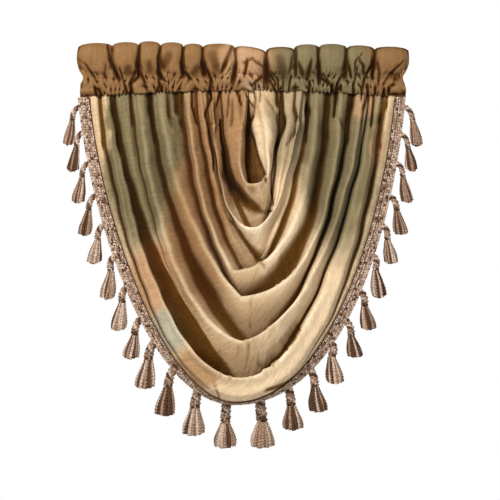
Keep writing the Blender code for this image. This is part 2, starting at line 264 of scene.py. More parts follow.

# How far the painted shade of each hollow reaches from its line towards the next rim, in
# fold steps, at seven places from the left top round to the right top. Below 0 it stays
# light. Its edge fades over half a step to each side, and it sets in just over a step
# before its line. The back of the cloth has a quarter of the painted shade.
Hollow = namedtuple("Hollow", "fold left_top left_mid left_low low right_low right_mid right_top")
PAINTED_SHADE_PLACES = (0.02, 0.18, 0.36, 0.5, 0.64, 0.82, 0.98)
PAINTED_SHADES = [
    Hollow("first crease", 0.4, 0.7, 0.0, -1, 0.0, 0.9, 0.6),
    Hollow("outer valley", 0.6, 1.8, 4.2, 0.6, 1.2, 0.7, 0.5),
    Hollow("left crease", 0.3, 0.1, -0.4, -1, -1, -1, -1),
    Hollow("fourth valley", 0.8, 0.9, 1.6, 0.7, 1.3, 0.8, 0.7),
    Hollow("third valley", 0.3, 0.5, 0.9, 0.8, 1.5, 1.0, 0.7),
    Hollow("second valley", 0.3, 1.0, 0.8, 0.4, 1.8, 1.6, 0.6),
    Hollow("inner crease", 0.2, 0.3, 0.5, 0.5, -0.4, -1, -1),
    Hollow("first valley", 0.3, 1.4, 1.8, 0.5, 0.0, 0.4, 0.6),
    Hollow("throat back", -1, 2.6, 3.0, 3.0, 0.6, 0.2, -1),
]
PAINTED_SHADE_EDGE = 0.5
PAINTED_SHADE_BACK = 1.1
VALLEY_SHADE = 0.8
BACK_PAINTED_SHADE_SHARE = 0.25

# The cloth from each valley up to the rim that overhangs it, where it gets a painted soft
# shade. The shade sets in just before the valley and fades up to the rim, both as shares of
# the way between them, and it is full only at the bottom of the folds.
APRONS = (
    ("outer valley", "fourth rim"),
    ("fourth valley", "third rim"),
    ("third valley", "second rim"),
    ("second valley", "first rim"),
    ("first valley", "throat rim"),
)
APRON_SHADE = 0.36
APRON_START = (-0.2, 0.0)
APRON_FADE = (1.0, 0.4)
LOW_PART = (0.45, 0.85)

# The rims whose rolled edge gets a painted highlight, how far it reaches from each in fold
# steps, how pale it makes them, and the share of it that is left at the sides
HIGHLIGHT_RIMS = {
    "roll rim": 0.55,
    "fourth rim": 0.55,
    "third rim": 0.6,
    "second rim": 0.65,
    "first rim": 0.9,
    "throat rim": 0.85,
}
RIM_HIGHLIGHT = 0.5
SIDE_HIGHLIGHT_SHARE = 0.3

# Creases given one by one: their two ends, their half width at each end, their depth,
# which is below 0 on a ridge, the painted shade in them from 0 to 1, and how far they bow
# to the left of the way between their ends. The ends of a crease are drawn out by its
# taper, the more the longer it is for its width, and its painted shade reaches a little
# beyond that width.
Crease = namedtuple("Crease", "x z to_x to_z width to_width depth dark bow", defaults=(0,))
CREASE_TAPER = 0.35
CREASE_SLENDER = (1.0, 4.0)
CREASE_SHADE_REACH = 1.0 / 0.85
SWAG_CREASES = [Crease(*row) for row in (
    (-333, -118, -320, -235, 3, 5, 3, 0.75),
    (-306, -115, -299, -160, 3, 5, 3, 0.9),
    (-299, -160, -281, -240, 6, 8, 3, 0.85),
    (-260, -115, -256, -185, 3.5, 4, 3, 0.85),
    (-256, -185, -247, -260, 3, 3, 1.5, 0.4),
    (-216, -112, -213, -160, 8, 6, 4, 0.95),
    (-213, -160, -203, -230, 5, 4, 3, 0.95),
    (-172, -108, -169, -165, 4, 5, 4, 0.9),
    (-169, -165, -169, -205, 5, 3, 2, 0.5),
    (-160, -181, -152, -290, 4, 5, 2, 0.35),
    (-155, -108, -152, -158, 3, 3, 3, 0.9),
    (-152, -158, -139, -194, 3, 3.5, 3, 0.9),
    (-140, -118, -141, -145, 4, 4, 3, 0.8),
    (-138, -150, -134, -190, 5, 5, 2, 0.45),
    (-118, -108, -115, -147, 3.5, 3.5, 3, 0.9),
    (-115, -147, -105, -187, 3, 3, 3, 0.95),
    (-78, -106, -74, -125, 4, 4, 3, 1),
    (-74, -125, -84, -167, 3.5, 3, 3, 0.95),
    (-84, -167, -68, -293, 2.5, 2.5, 3, 0.8, 3),
    (-52, -112, -57, -145, 3, 3, 3, 0.95),
    (-60, -155, -62, -190, 9, 9, 5, 0.55),
    (-72, -190, -54, -192, 2.5, 2.5, 2, 0.5, -3),
    (-49, -185, -45, -227, 3, 4, 4, 1),
    (-45, -227, -37, -295, 4, 8, 3, 1),
    (-31, -118, -36, -167, 3, 3, 2.5, 0.55),
    (-28, -125, -31, -190, 3, 3, -2, 0),
    (-24, -141, -25, -187, 4, 4, 3, 0.5),
    (-11, -118, -5, -140, 3, 3, 3, 1),
    (-5, -140, -4, -165, 6, 6, 2, 0.4),
    (6, -117, 24, -152, 2, 2, 2, 0.7),
    (28, -121, 26, -153, 2.5, 2.5, 2.5, 0.7),
    (29, -138, 22, -174, 4, 4, 2, 0.6),
    (22, -174, 12, -200, 4, 4.5, 3, 0.8),
    (14, -190, 50, -312, 4, 5, 4, 0.95),
    (12, -215, 20, -318, 6, 12, 0, 0.6),
    (26, -245, 38, -308, 7, 9, 0, 0.7),
    (-42, -268, -28, -325, 7, 10, 3, 0.95),
    (-28, -325, 2, -362, 10, 13, 3, 0.95),
    (2, -362, 28, -384, 13, 12, 2, 0.8),
    (42, -110, 40, -135, 2.5, 2.5, 2, 0.7),
    (40, -118, 62, -215, 8, 9, -3, 0),
    (62, -215, 62, -270, 9, 7, -3, 0),
    (58, -138, 80, -187, 4, 4, 2, 0.4, 5),
    (80, -118, 80, -140, 4, 4, 3, 0.9),
    (88, -118, 79, -165, 3.5, 3.5, -2.5, 0),
    (92, -115, 91, -187, 3, 6, 4, 0.95),
    (91, -187, 80, -240, 7, 4, 4, 0.95),
    (80, -240, 67, -306, 4, 2.5, 3, 0.8),
    (67, -306, 66, -345, 2, 2, 2, 0.7),
    (66, -345, 68, -372, 2.5, 2.5, 2, 0.8),
    (29, -391, 62, -391, 3, 3, 2.5, 0.75, -3),
    (45, -362, 52, -378, 3, 3, -2.5, 0),
    (38, -370, 44, -384, 3, 3, 2, 0.3),
    (120, -108, 120, -147, 3, 3, 3, 0.85),
    (120, -147, 124, -190, 4, 5, 3, 0.9),
    (124, -190, 116, -215, 5, 4, 3, 0.7),
    (116, -215, 105, -235, 3, 3, 2, 0.6),
    (146, -112, 150, -154, 3, 6, 4, 0.95),
    (150, -154, 145, -227, 5, 3, 4, 0.95),
    (195, -112, 197, -147, 3, 4, 3, 0.9),
    (197, -147, 193, -215, 6, 7, 3, 0.8),
    (217, -108, 211, -168, 7, 2.5, 5, 1),
    (257, -112, 250, -147, 4, 6, 4, 1),
    (250, -147, 240, -227, 6, 5, 3, 0.95),
    (228, -182, 235, -198, 2.5, 2.5, 2, 0.5),
    (276, -110, 275, -128, 3, 3, 3, 0.9),
    (289, -110, 289, -130, 3.5, 3, 3, 0.95),
    (290, -130, 280, -150, 4, 4, 2, 0.45),
    (305, -112, 297, -187, 2.5, 3.5, 3, 0.95),
    (334, -112, 330, -147, 2.5, 3.5, 3, 0.95),
    (330, -147, 320, -176, 4, 5, 3, 0.8),
    (320, -176, 318, -240, 5, 3.5, 3, 0.8),
    (-28, -413, -3, -442, 2, 2.5, 2.5, 0.7),
    (-3, -442, 17, -478, 2.5, 4, 3, 0.85),
    (17, -478, 39, -505, 4, 7, 4, 0.9),
    (-63, -790, -55, -816, 3, 3, 2, 0.5),
    (62, -799, 122, -774, 4, 7, 0, 0.7, -3),
    (-33, -758, -27, -772, 3, 3, 3, 0.7),
    (-51, -715, -50, -761, 2.5, 2.5, 2, 0.45),
    (-10, -706, -10, -727, 2.5, 2.5, 1.5, 0.3),
    (13, -701, 12, -743, 3, 3, 2, 0.4),
    (8, -701, 7, -743, 3, 3, -1.5, 0),
    (52, -722, 51, -745, 3, 3, -2, 0),
    (10, -644, 22, -660, 3, 3, 2.5, 0.55),
    (22, -596, 21, -626, 3, 3, 1.5, 0.3),
)]
HEADING_CREASES = [Crease(*row) for row in (
    (-313, -4, -305, -45, 2.5, 3.5, 3, 0.9),
    (-305, -6, -304, -40, 6, 3, 1, 0.5),
    (-305, -45, -290, -77, 3.5, 5, 3, 0.95),
    (-284, -62, -271, -103, 2, 3, 2, 0.7),
    (-271, -103, -264, -124, 3, 4, 3, 0.9),
    (-378, -39, -362, -53, 2, 2.5, 2, 0.5),
    (-362, -53, -345, -77, 2.5, 3, 2, 0.7),
    (-345, -77, -336, -93, 2.5, 2, 2, 0.5),
    (-317, -57, -320, -80, 3, 3, 2, 0.5),
    (-341, -108, -338, -117, 3, 4, 3, 0.95),
    (-330, -112, -326, -121, 3, 4.5, 3, 0.95),
    (-258, -103, -256, -119, 4, 5, 4, 0.95),
    (-239, -77, -248, -87, 3.5, 3.5, 3, 0.9),
    (-256, -84, -261, -95, 3, 2.5, 2, 0.7),
    (-197, -107, -196, -114, 3.5, 4, 3, 0.9),
    (-193, -92, -187, -112, 2.5, 4, 3, 0.9),
    (-238, -8, -242, -53, 3, 5, 3, 0.95),
    (-242, -53, -241, -74, 6, 4, 3, 1),
    (-249, -71, -258, -93, 4, 3, 3, 0.85),
    (-237, -69, -227, -90, 4, 3, 3, 0.85),
    (-227, -90, -222, -105, 2.5, 2.5, 2, 0.6),
    (-189, -4, -195, -37, 2.5, 2.5, 3, 0.9),
    (-195, -37, -193, -71, 3, 5, 3, 0.95),
    (-193, -71, -187, -83, 6, 4, 3, 1),
    (-187, -83, -177, -90, 3, 2, 2, 0.7),
    (-137, -5, -140, -51, 3, 4, 3, 0.9),
    (-140, -51, -138, -69, 5, 5, 3, 1),
    (-134, -69, -122, -82, 4, 3, 3, 0.95),
    (-93, -15, -91, -51, 2.5, 4, 3, 0.9),
    (-91, -51, -89, -69, 7, 7, 3, 1),
    (-81, -66, -73, -87, 3, 3.5, 3, 0.95),
    (-73, -87, -76, -117, 3, 5, 3, 0.9),
    (-22, -5, -40, -51, 4, 6, 3, 0.75),
    (-40, -51, -47, -66, 5, 3, 3, 0.95),
    (-27, -50, -44, -78, 3, 3, -2.5, 0),
    (-16, -8, -15, -51, 2.5, 3, 3, 0.8),
    (-16, -55, -20, -77, 4, 7, 4, 1),
    (6, -71, 10, -48, 3, 4, 3, 0.85),
    (10, -48, 33, -48, 4, 4, 3, 0.7, 9),
    (33, -48, 48, -57, 3, 2.5, 2, 0.7),
    (56, -15, 55, -46, 2.5, 4, 3, 0.9),
    (55, -46, 55, -74, 5, 9, 4, 1),
    (44, -80, 30, -93, 4, 3, 3, 0.85),
    (30, -93, 29, -110, 2.5, 3, 2, 0.8),
    (61, -71, 72, -87, 4, 2.5, 3, 0.9),
    (67, -69, 81, -85, 2.5, 2.5, 2, 0.7),
    (81, -85, 85, -124, 2.5, 2.5, 2, 0.8),
    (63, -89, 86, -126, 2.5, 3, 2, 0.8),
    (88, -44, 94, -72, 10, 14, 5, 0.5),
    (94, -82, 94, -124, 2, 2, 2, 0.7),
    (111, -82, 106, -114, 2.5, 2.5, 2, 0.8),
    (124, -24, 123, -71, 3, 4, 3, 0.8),
    (115, -37, 109, -71, 3, 3, 2, 0.55),
    (132, -54, 137, -68, 4, 6, 3, 0.7),
    (158, -48, 152, -74, 4, 6, 3, 0.75),
    (149, -81, 150, -86, 3, 3, 3, 0.9),
    (155, -95, 154, -108, 3, 3, 3, 0.95),
    (174, -12, 176, -51, 2.5, 3, 3, 0.9),
    (176, -51, 177, -78, 4, 6, 3, 1),
    (177, -78, 194, -93, 4, 3, 3, 0.9),
    (189, -77, 207, -106, 2.5, 2.5, 2, 0.75),
    (207, -106, 211, -126, 4, 8, 3, 1),
    (229, -77, 219, -98, 2.5, 2.5, 2, 0.75),
    (219, -98, 214, -118, 3, 7, 3, 0.9),
    (187, -74, 231, -74, 1.5, 1.5, -1.2, 0),
    (240, -17, 239, -53, 4, 5, 3, 0.75),
    (239, -53, 236, -72, 6, 7, 3, 0.9),
    (247, -58, 250, -76, 3, 3, 3, 0.9),
    (227, -102, 227, -108, 3, 3, 3, 0.9),
    (256, -100, 257, -124, 3, 4, 3, 0.9),
    (261, -61, 274, -31, 3, 3, 2, 0.7, 6),
    (272, -46, 279, -66, 4, 4, 3, 0.75, 4),
    (265, -61, 256, -104, 2.5, 2.5, 2, 0.7),
    (308, -21, 302, -51, 2.5, 4, 3, 0.9),
    (302, -51, 300, -76, 6, 4, 3, 1),
    (294, -60, 282, -84, 3, 3, 3, 0.85),
    (282, -84, 276, -110, 3, 3, 3, 0.85),
    (371, -45, 344, -71, 2, 3, 2, 0.75),
    (344, -71, 332, -87, 3, 3, 2, 0.6),
    (313, -51, 316, -71, 3.5, 3.5, 2, 0.65),
    (316, -71, 314, -95, 3.5, 3, 2, 0.6),
    (353, -79, 353, -86, 6, 6, 2, 0.6),
    (338, -106, 338, -114, 3.5, 4, 3, 0.95),
    (327, -110, 327, -119, 3.5, 4, 3, 0.95),
    (307, -108, 305, -124, 3, 3, 3, 0.9),
    (289, -104, 290, -124, 3, 3, 3, 0.9),
    (-264, -60, -264, -70, 9, 11, 4, 0.5),
    (-216, -50, -214, -64, 8, 9, 4, 0.5),
    (-172, -34, -183, -54, 10, 10, 4, 0.55),
    (-104, -60, -112, -72, 9, 9, 4, 0.5),
    (-68, -34, -60, -60, 12, 8, 5, 0.5),
)]

# Rows of short crinkles: the ends of the row, how many stand in it, how long they are,
# their lean from upright in degrees and their depth. All have one half width, and each
# gets a painted shade as strong as it is deep.
Crinkle = namedtuple("Crinkle", "x z to_x to_z count reach lean depth")
CRINKLES = [
    Crinkle(70, -554, 116, -508, 8, 16, -35, 3.2),
    Crinkle(93, -701, 132, -660, 7, 16, -35, 3.2),
    Crinkle(45, -761, 79, -727, 8, 16, -30, 3.2),
    Crinkle(-10, -773, 26, -770, 5, 10, -10, 1.5),
    Crinkle(0, -688, 75, -646, 10, 12, -25, 2.4),
    Crinkle(-24, -536, 45, -515, 9, 10, -15, 2.2),
    Crinkle(-47, -729, 45, -729, 13, 34, 4, 1.6),
]
CRINKLE_WIDTH = 3.2
CRINKLE_SHADE = 0.14

# Rims that come to a point: how far the arms are drawn up beside their low end
Point = namedtuple("Point", "left right")
POINTED = {
    "fourth rim": Point(24, 34),
    "fourth valley": Point(30, 34),
    "third rim": Point(70, 10),
    "third valley": Point(70, 10),
    "second rim": Point(60, 10),
    "second valley": Point(40, 20),
    "inner pleat": Point(30, 30),
    "inner crease": Point(40, 30),
}

# Tassels from the upper left round to the upper right: the middle and the top of the
# skirt, the skirt's length and its width at the bottom
Tassel = namedtuple("Tassel", "x z length width")
TASSELS = [
    Tassel(-399, -182, 56, 28),
    Tassel(-389, -242, 57, 28),
    Tassel(-376, -313, 59, 30),
    Tassel(-361, -389, 58, 32),
    Tassel(-340, -458, 54, 34),
    Tassel(-309, -530, 64, 36),
    Tassel(-283, -603, 64, 38),
    Tassel(-254, -678, 54, 40),
    Tassel(-222, -734, 66, 48),
    Tassel(-176, -797, 66, 48),
    Tassel(-112, -846, 62, 52),
    Tassel(-40, -880, 57, 53),
    Tassel(46, -877, 59, 58),
    Tassel(115, -840, 55, 48),
    Tassel(171, -797, 57, 44),
    Tassel(210, -727, 62, 42),
    Tassel(256, -681, 47, 38),
    Tassel(287, -611, 54, 38),
    Tassel(312, -527, 64, 36),
    Tassel(340, -458, 54, 34),
    Tassel(362, -391, 54, 34),
    Tassel(376, -313, 58, 30),
    Tassel(388, -246, 52, 28),
    Tassel(399, -182, 58, 28),
]

# Skirt width in millimetres at which a tassel has its full girth, and the least share of
# that girth
TASSEL_FULL_WIDTH = 48
TASSEL_SLIMMEST = 0.62

# How far the skirts at the sides lean out, and how far from the middle they lean in full
TASSEL_LEAN = 10 * MM
TASSEL_LEAN_FROM = 250 * MM

# A neck starts at the place on the braid that is nearest to a point so far above its
# skirt, with a gap there, and bends down after this share of the way
NECK_SEARCH_RISE = 30 * MM
TASSEL_ROOT_GAP = 0.6 * MM
NECK_BEND_SHARE = 0.45

# Soft spots of dye, and one of painted shade: the middle of each, its half sizes, its
# colour and its strength
Spot = namedtuple("Spot", "x z half_width half_height colour strength")
SWAG_SPOTS = [
    Spot(-70, -600, 150, 210, "tan", 0.9),
    Spot(-98, -320, 85, 320, "brown", 1.0),
    Spot(-34, -220, 58, 190, "brown", 1.0),
    Spot(-238, -205, 104, 305, "sage", 1.0),
    Spot(-338, -190, 30, 110, "gold", 0.9),
    Spot(-345, -330, 34, 110, "gold", 0.6),
    Spot(-214, -545, 66, 92, "peach", 1.0),
    Spot(-176, -668, 56, 56, "mist", 1.0),
    # Painted shade: this brown spot darkens the lower left of the roll, where shade falls
    Spot(-100, -757, 62, 50, "brown", 0.8),
    Spot(224, -210, 104, 300, "sage", 1.0),
    Spot(341, -228, 22, 130, "gold", 0.8),
    Spot(96, -170, 42, 140, "sage", 0.6),
    Spot(44, -130, 30, 60, "tan", 0.7),
    Spot(22, -350, 42, 44, "brown", 0.5),
    Spot(276, -142, 34, 34, "peach", 0.7),
    Spot(305, -244, 18, 60, "peach", 0.6),
]
HEADING_SPOTS = [
    Spot(10, -32, 62, 60, "peach", 0.9),
    Spot(183, -60, 122, 120, "sage", 1.0),
    Spot(20, -100, 26, 18, "mist", 0.5),
]


def linear(red, green, blue):
    """A screen colour, 0 to 255, as the linear light that Blender's colours hold."""
    parts = []
    for part in (red, green, blue):
        share = part / 255.0
        parts.append(share / 12.92 if share <= 0.04045 else ((share + 0.055) / 1.055) ** 2.4)
    return tuple(parts)


def colour_setting(name, description, default):
    return FloatVectorProperty(name=name, description=description, default=default,
                               subtype="COLOR", size=3, min=0.0, max=1.0)


def length_setting(name, description, default):
    return FloatProperty(name=name, description=description, default=default, unit="LENGTH")


class ClothSettings(bpy.types.PropertyGroup):
    """Sizes and dyes of the satin, and the tint of its painted shade."""

    thickness: length_setting("Thickness", "Thickness of the swag's cloth", 1.8 * MM)
    wall: length_setting("Heading wall", "Thickness of the heading's cloth", 1.6 * MM)
    gather_pitch: length_setting(
        "Gather pitch", "Distance between the small gathers at the seam", 12.2 * MM)
    gather_depth: length_setting(
        "Gather depth", "Depth of the small gathers at the seam", 2.4 * MM)
    cream: colour_setting("Cream", "Ground colour of the swag", linear(224, 202, 171))
    brown: colour_setting("Brown", "Bronze brown dye", linear(172, 138, 101))
    bronze: colour_setting("Bronze", "Ground colour of the heading", linear(151, 118, 81))
    sage: colour_setting("Sage", "Olive green dye", linear(139, 126, 95))
    gold: colour_setting("Gold", "Golden cream dye", linear(210, 186, 152))
    peach: colour_setting("Peach", "Pinkish tan dye", linear(192, 158, 124))
    mist: colour_setting("Mist", "Pale grey-green dye", linear(180, 171, 150))
    tan: colour_setting("Tan", "Warm tan dye", linear(198, 171, 137))
    # Tint of the painted shade deep in the folds, where shade falls
    hollow: colour_setting("Hollow", "Tint deep in the folds", linear(128, 98, 34))


class TrimSettings(bpy.types.PropertyGroup):
    """Sizes and yarns of the braid and tassels."""

    chains: IntProperty(
        name="Chains", description="Chains of stitches across the braid", default=3, min=2)
    stitch_pitch: length_setting(
        "Stitch pitch", "Distance from one chain stitch to the next", 6.4 * MM)
    skirt_yarns: IntProperty(
        name="Skirt yarns", description="Yarns round the outside of a skirt",
        default=16, min=8)
    pale: colour_setting("Pale yarn", "Lightest yarn of the trim", linear(206, 184, 166))
    rose: colour_setting("Rose yarn", "Middle yarn of the trim", linear(170, 141, 118))
    dark: colour_setting("Dark yarn", "Darkest yarn of the trim", linear(98, 66, 38))


class StageSettings(bpy.types.PropertyGroup):
    """The camera."""

    view_width: length_setting(
        "View width", "Width that the picture shows at the valance", 1.15)
    lens: FloatProperty(
        name="Lens", description="Focal length of the camera in millimetres", default=300.0)


class Value:
    """A value that runs between shader nodes; a product written with it adds a Math node."""

    def __init__(self, paint, socket):
        self.paint = paint
        self.socket = socket

    def __mul__(self, other):
        return self.paint.node("ShaderNodeMath", {"operation": "MULTIPLY"}, {0: self, 1: other})

    def __rmul__(self, other):
        return self.paint.node("ShaderNodeMath", {"operation": "MULTIPLY"}, {0: other, 1: self})


class Paint:
    """The nodes of one material."""

    def __init__(self, name, **finish):
        self.material = bpy.data.materials.new(name)
        self.material.use_nodes = True
        self.tree = self.material.node_tree
        self.shader = self.tree.nodes["Principled BSDF"]
        for socket, value in finish.items():
            self.feed(self.shader.inputs[socket.replace("_", " ")], value)
        self.place = self.node("ShaderNodeTexCoord", output="Object")

    def feed(self, socket, value):
        if isinstance(value, Value):
            self.tree.links.new(value.socket, socket)
        elif socket.type == "RGBA" and len(value) == 3:
            socket.default_value = (*value, 1.0)
        else:
            socket.default_value = value

    def node(self, kind, settings=None, values=None, output=0):
        made = self.tree.nodes.new(kind)
        for name, setting in (settings or {}).items():
            setattr(made, name, setting)
        for key, value in (values or {}).items():
            self.feed(made.inputs[key], value)
        return Value(self, made.outputs[output])

    def vector(self, operation, first, second, output=0):
        return self.node("ShaderNodeVectorMath", {"operation": operation},
                         {0: first, 1: second}, output)

    def noise(self, place, scale, detail, roughness, output="Fac"):
        return self.node("ShaderNodeTexNoise", {}, {
            "Vector": place, "Scale": scale, "Detail": detail, "Roughness": roughness}, output)

    def blend(self, factor, first, second, how="MIX"):
        return self.node("ShaderNodeMix", {"data_type": "RGBA", "blend_type": how},
                         {0: factor, 6: first, 7: second}, 2)

    def tinted(self, colour, tint, how="MULTIPLY"):
        return self.blend(1.0, colour, tint, how)

    def ramp(self, value, low, high, start=0.0, end=1.0):
        return self.node("ShaderNodeMapRange", {"interpolation_type": "SMOOTHSTEP"},
                         {0: value, 1: low, 2: high, 3: start, 4: end})

    def wear(self, colour, *bumps):
        """Puts the colour on the shader, and each bump, a height, on the one before."""
        self.feed(self.shader.inputs["Base Color"], colour)
        normal = None
        for height, distance in bumps:
            values = {"Height": height, "Distance": distance, "Strength": 1.0}
            if normal is not None:
                values["Normal"] = normal
            normal = self.node("ShaderNodeBump", {}, values)
        if normal is not None:
            self.feed(self.shader.inputs["Normal"], normal)
        return self.material


def smoothstep(low, high, value):
    share = np.clip((value - low) / (high - low), 0.0, 1.0)
    return share * share * (3.0 - 2.0 * share)


def mix(first, second, share):
    return first + (second - first) * share


def seam_z(x):
    """Height of the seam between heading and swag: it dips towards both sides."""
    return mix(SEAM_Z_MIDDLE, SEAM_Z_SIDE, np.minimum(np.abs(x) / SEAM_HALF_WIDTH, 1.0) ** 2)


def fold_line(fold, across):
    """Points of a fold line at each across, from 0 at its left top to 1 at its right top."""
    on_left = across <= 0.5
    down = np.where(on_left, 2.0 * across, 2.0 - 2.0 * across)
    top_x = np.where(on_left, fold.left_top, fold.right_top) * MM
    mid_x = np.where(on_left, fold.left_mid, fold.right_mid) * MM
    low_x = fold.low_x * MM
    low_z = fold.low_z * MM
    top_z = seam_z(top_x) - PART_GAP
    near_x = top_x + SPREAD_AT_TOP * (mid_x - top_x)
    far_x = (8.0 * mid_x - top_x - low_x) / 3.0 - near_x
    near_z = top_z + FALL_AT_TOP * (low_z - top_z)
    up = 1.0 - down
    point = POINTED.get(fold.name, Point(0, 0))
    far_z = low_z + np.where(on_left, point.left, point.right) * MM
    weights = (up ** 3, 3.0 * up * up * down, 3.0 * up * down * down, down ** 3)
    x = sum(w * v for w, v in zip(weights, (top_x, near_x, far_x, low_x)))
    z = sum(w * v for w, v in zip(weights, (top_z, near_z, far_z, low_z)))
    side = np.where(on_left, fold.at_left, fold.at_right) * MM
    forward = mix(fold.at_seam * MM, side, smoothstep(0.0, SIDE_DEPTH_AT, down))
    forward = mix(forward, fold.at_low * MM, smoothstep(LOW_DEPTH_FROM, 1.0, down))
    return np.stack([x, -forward, z], axis=-1)


def between(before, start, end, after, share):
    """Centripetal Catmull-Rom points between start and end."""
    knots = [np.zeros((len(start), 1))]
    for one, two in ((before, start), (start, end), (end, after)):
        length = np.linalg.norm(two - one, axis=-1, keepdims=True)
        knots.append(knots[-1] + np.maximum(length, 1e-6) ** 0.5)
    place = mix(knots[1], knots[2], share)

    def blend(one, two, low, high):
        return one + (two - one) * (place - low) / (high - low)

    first = blend(before, start, knots[0], knots[1])
    second = blend(start, end, knots[1], knots[2])
    third = blend(end, after, knots[2], knots[3])
    early = blend(first, second, knots[0], knots[2])
    late = blend(second, third, knots[1], knots[3])
    return blend(early, late, knots[1], knots[2])


def swag_rows(across, rows_per_step):
    """Rows of the swag from its hem to its innermost line, each with its points."""
    lines = [fold_line(fold, across) for fold in FOLDS]
    lines.insert(0, lines[0] * 2.0 - lines[1])
    lines.append(lines[-1] * 2.0 - lines[-2])
    rows = []
    for index, fold in enumerate(FOLDS):
        steps = fold.steps * rows_per_step
        for step in range(steps):
            rows.append(between(*lines[index:index + 4], step / steps))
    rows.append(lines[-2])
    return np.array(rows)


def unit(vectors):
    """Vectors of the same ways, each one unit long."""
    return vectors / np.maximum(np.linalg.norm(vectors, axis=-1, keepdims=True), 1e-9)


def grid_normals(points):
    """Unit normals of a grid of points."""
    down = np.gradient(points, axis=0)
    along = np.gradient(points, axis=1)
    return unit(np.cross(down, along))


def lengths_along(points, axis):
    """Distance from the first point to each, along one axis of a grid of points."""
    steps = np.linalg.norm(np.diff(points, axis=axis), axis=-1)
    pad = [(0, 0), (0, 0)]
    pad[axis] = (1, 0)
    return np.pad(np.cumsum(steps, axis=axis), pad)


def moved_grid(points, uv=None):
    """A grid made by Blender whose points are moved to the rows and columns given."""
    rows, columns = points.shape[:2]
    bm = bmesh.new()
    bmesh.ops.create_grid(bm, x_segments=columns - 1, y_segments=rows - 1, size=1.0)
    layer = bm.loops.layers.uv.new("cloth") if uv is not None else None
    for vert in bm.verts:
        column = round((vert.co.x + 1.0) / 2.0 * (columns - 1))
        row = round((vert.co.y + 1.0) / 2.0 * (rows - 1))
        vert.co = points[row, column]
        if layer:
            for loop in vert.link_loops:
                loop[layer].uv = uv[row, column]
    return bm


def add_object(name, data):
    thing = bpy.data.objects.new(name, data)
    bpy.context.scene.collection.objects.link(thing)
    return thing


def take_mesh(bm, mesh):
    """Adds the mesh to what is being built, and removes it from the file."""
    bm.from_mesh(mesh)
    bpy.data.meshes.remove(mesh)


def plain_mesh(bm, name):
    mesh = bpy.data.meshes.new(name)
    bm.to_mesh(mesh)
    bm.free()
    return mesh


def make_object(bm, name, *materials):
    bmesh.ops.recalc_face_normals(bm, faces=bm.faces)
    mesh = plain_mesh(bm, name)
    mesh.shade_smooth()
    for material in materials:
        mesh.materials.append(material)
    return add_object(name, mesh)


def place_piece(thing, node):
    """Attaches the piece to the root body and hides the solid that it stands for."""
    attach(thing, "root")
    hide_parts(node)


# The width in which the edges of the dye wander, how many times they do so in a metre,
# and the shares of a spot's half sizes between which its colour fades
DYE_DRIFT = 70 * MM
DYE_DRIFT_SCALE = 9.0
SPOT_EDGE = (0.7, 1.15)

# How often the threads and the puckers come in a metre along and across the cloth
THREAD_SCALE = (60.0, 900.0, 1.0)
PUCKER_SCALE = (150.0, 24.0, 1.0)

# What the satin's colour is multiplied by in its mottles, its puckers and the painted
# shade of its deepest hollows, and what it is screened with for the painted highlight of
# its rims
MOTTLE_TINT = (0.72, 0.69, 0.66)
PUCKER_TINT = (0.72, 0.68, 0.61)
DEEP_SHADE_TINT = (0.22, 0.22, 0.22)
RIM_HIGHLIGHT_TINT = (0.8, 0.7, 0.5)


def dyed(paint, cloth, ground, spots):
    """The dye, and the painted shade of the one swag spot that stands for it: soft spots of colour
    with wandering edges, on the ground colour.
    """
    drift = paint.noise(paint.place, DYE_DRIFT_SCALE, 3.0, 0.6, "Color")
    drift = paint.vector("SUBTRACT", drift, (0.5, 0.5, 0.5))
    drift = paint.vector("MULTIPLY", drift, (DYE_DRIFT, 0.0, DYE_DRIFT))
    place = paint.vector("ADD", paint.place, drift)
    colour = tuple(ground)
    for spot in spots:
        offset = paint.vector("SUBTRACT", place, (spot.x * MM, 0.0, spot.z * MM))
        scale = (1.0 / (spot.half_width * MM), 0.0, 1.0 / (spot.half_height * MM))
        offset = paint.vector("MULTIPLY", offset, scale)
        distance = paint.vector("LENGTH", offset, (0.0, 0.0, 0.0), "Value")
        mask = paint.ramp(distance, *SPOT_EDGE, spot.strength, 0.0)
        colour = paint.blend(mask, colour, tuple(getattr(cloth, spot.colour)))
    return colour


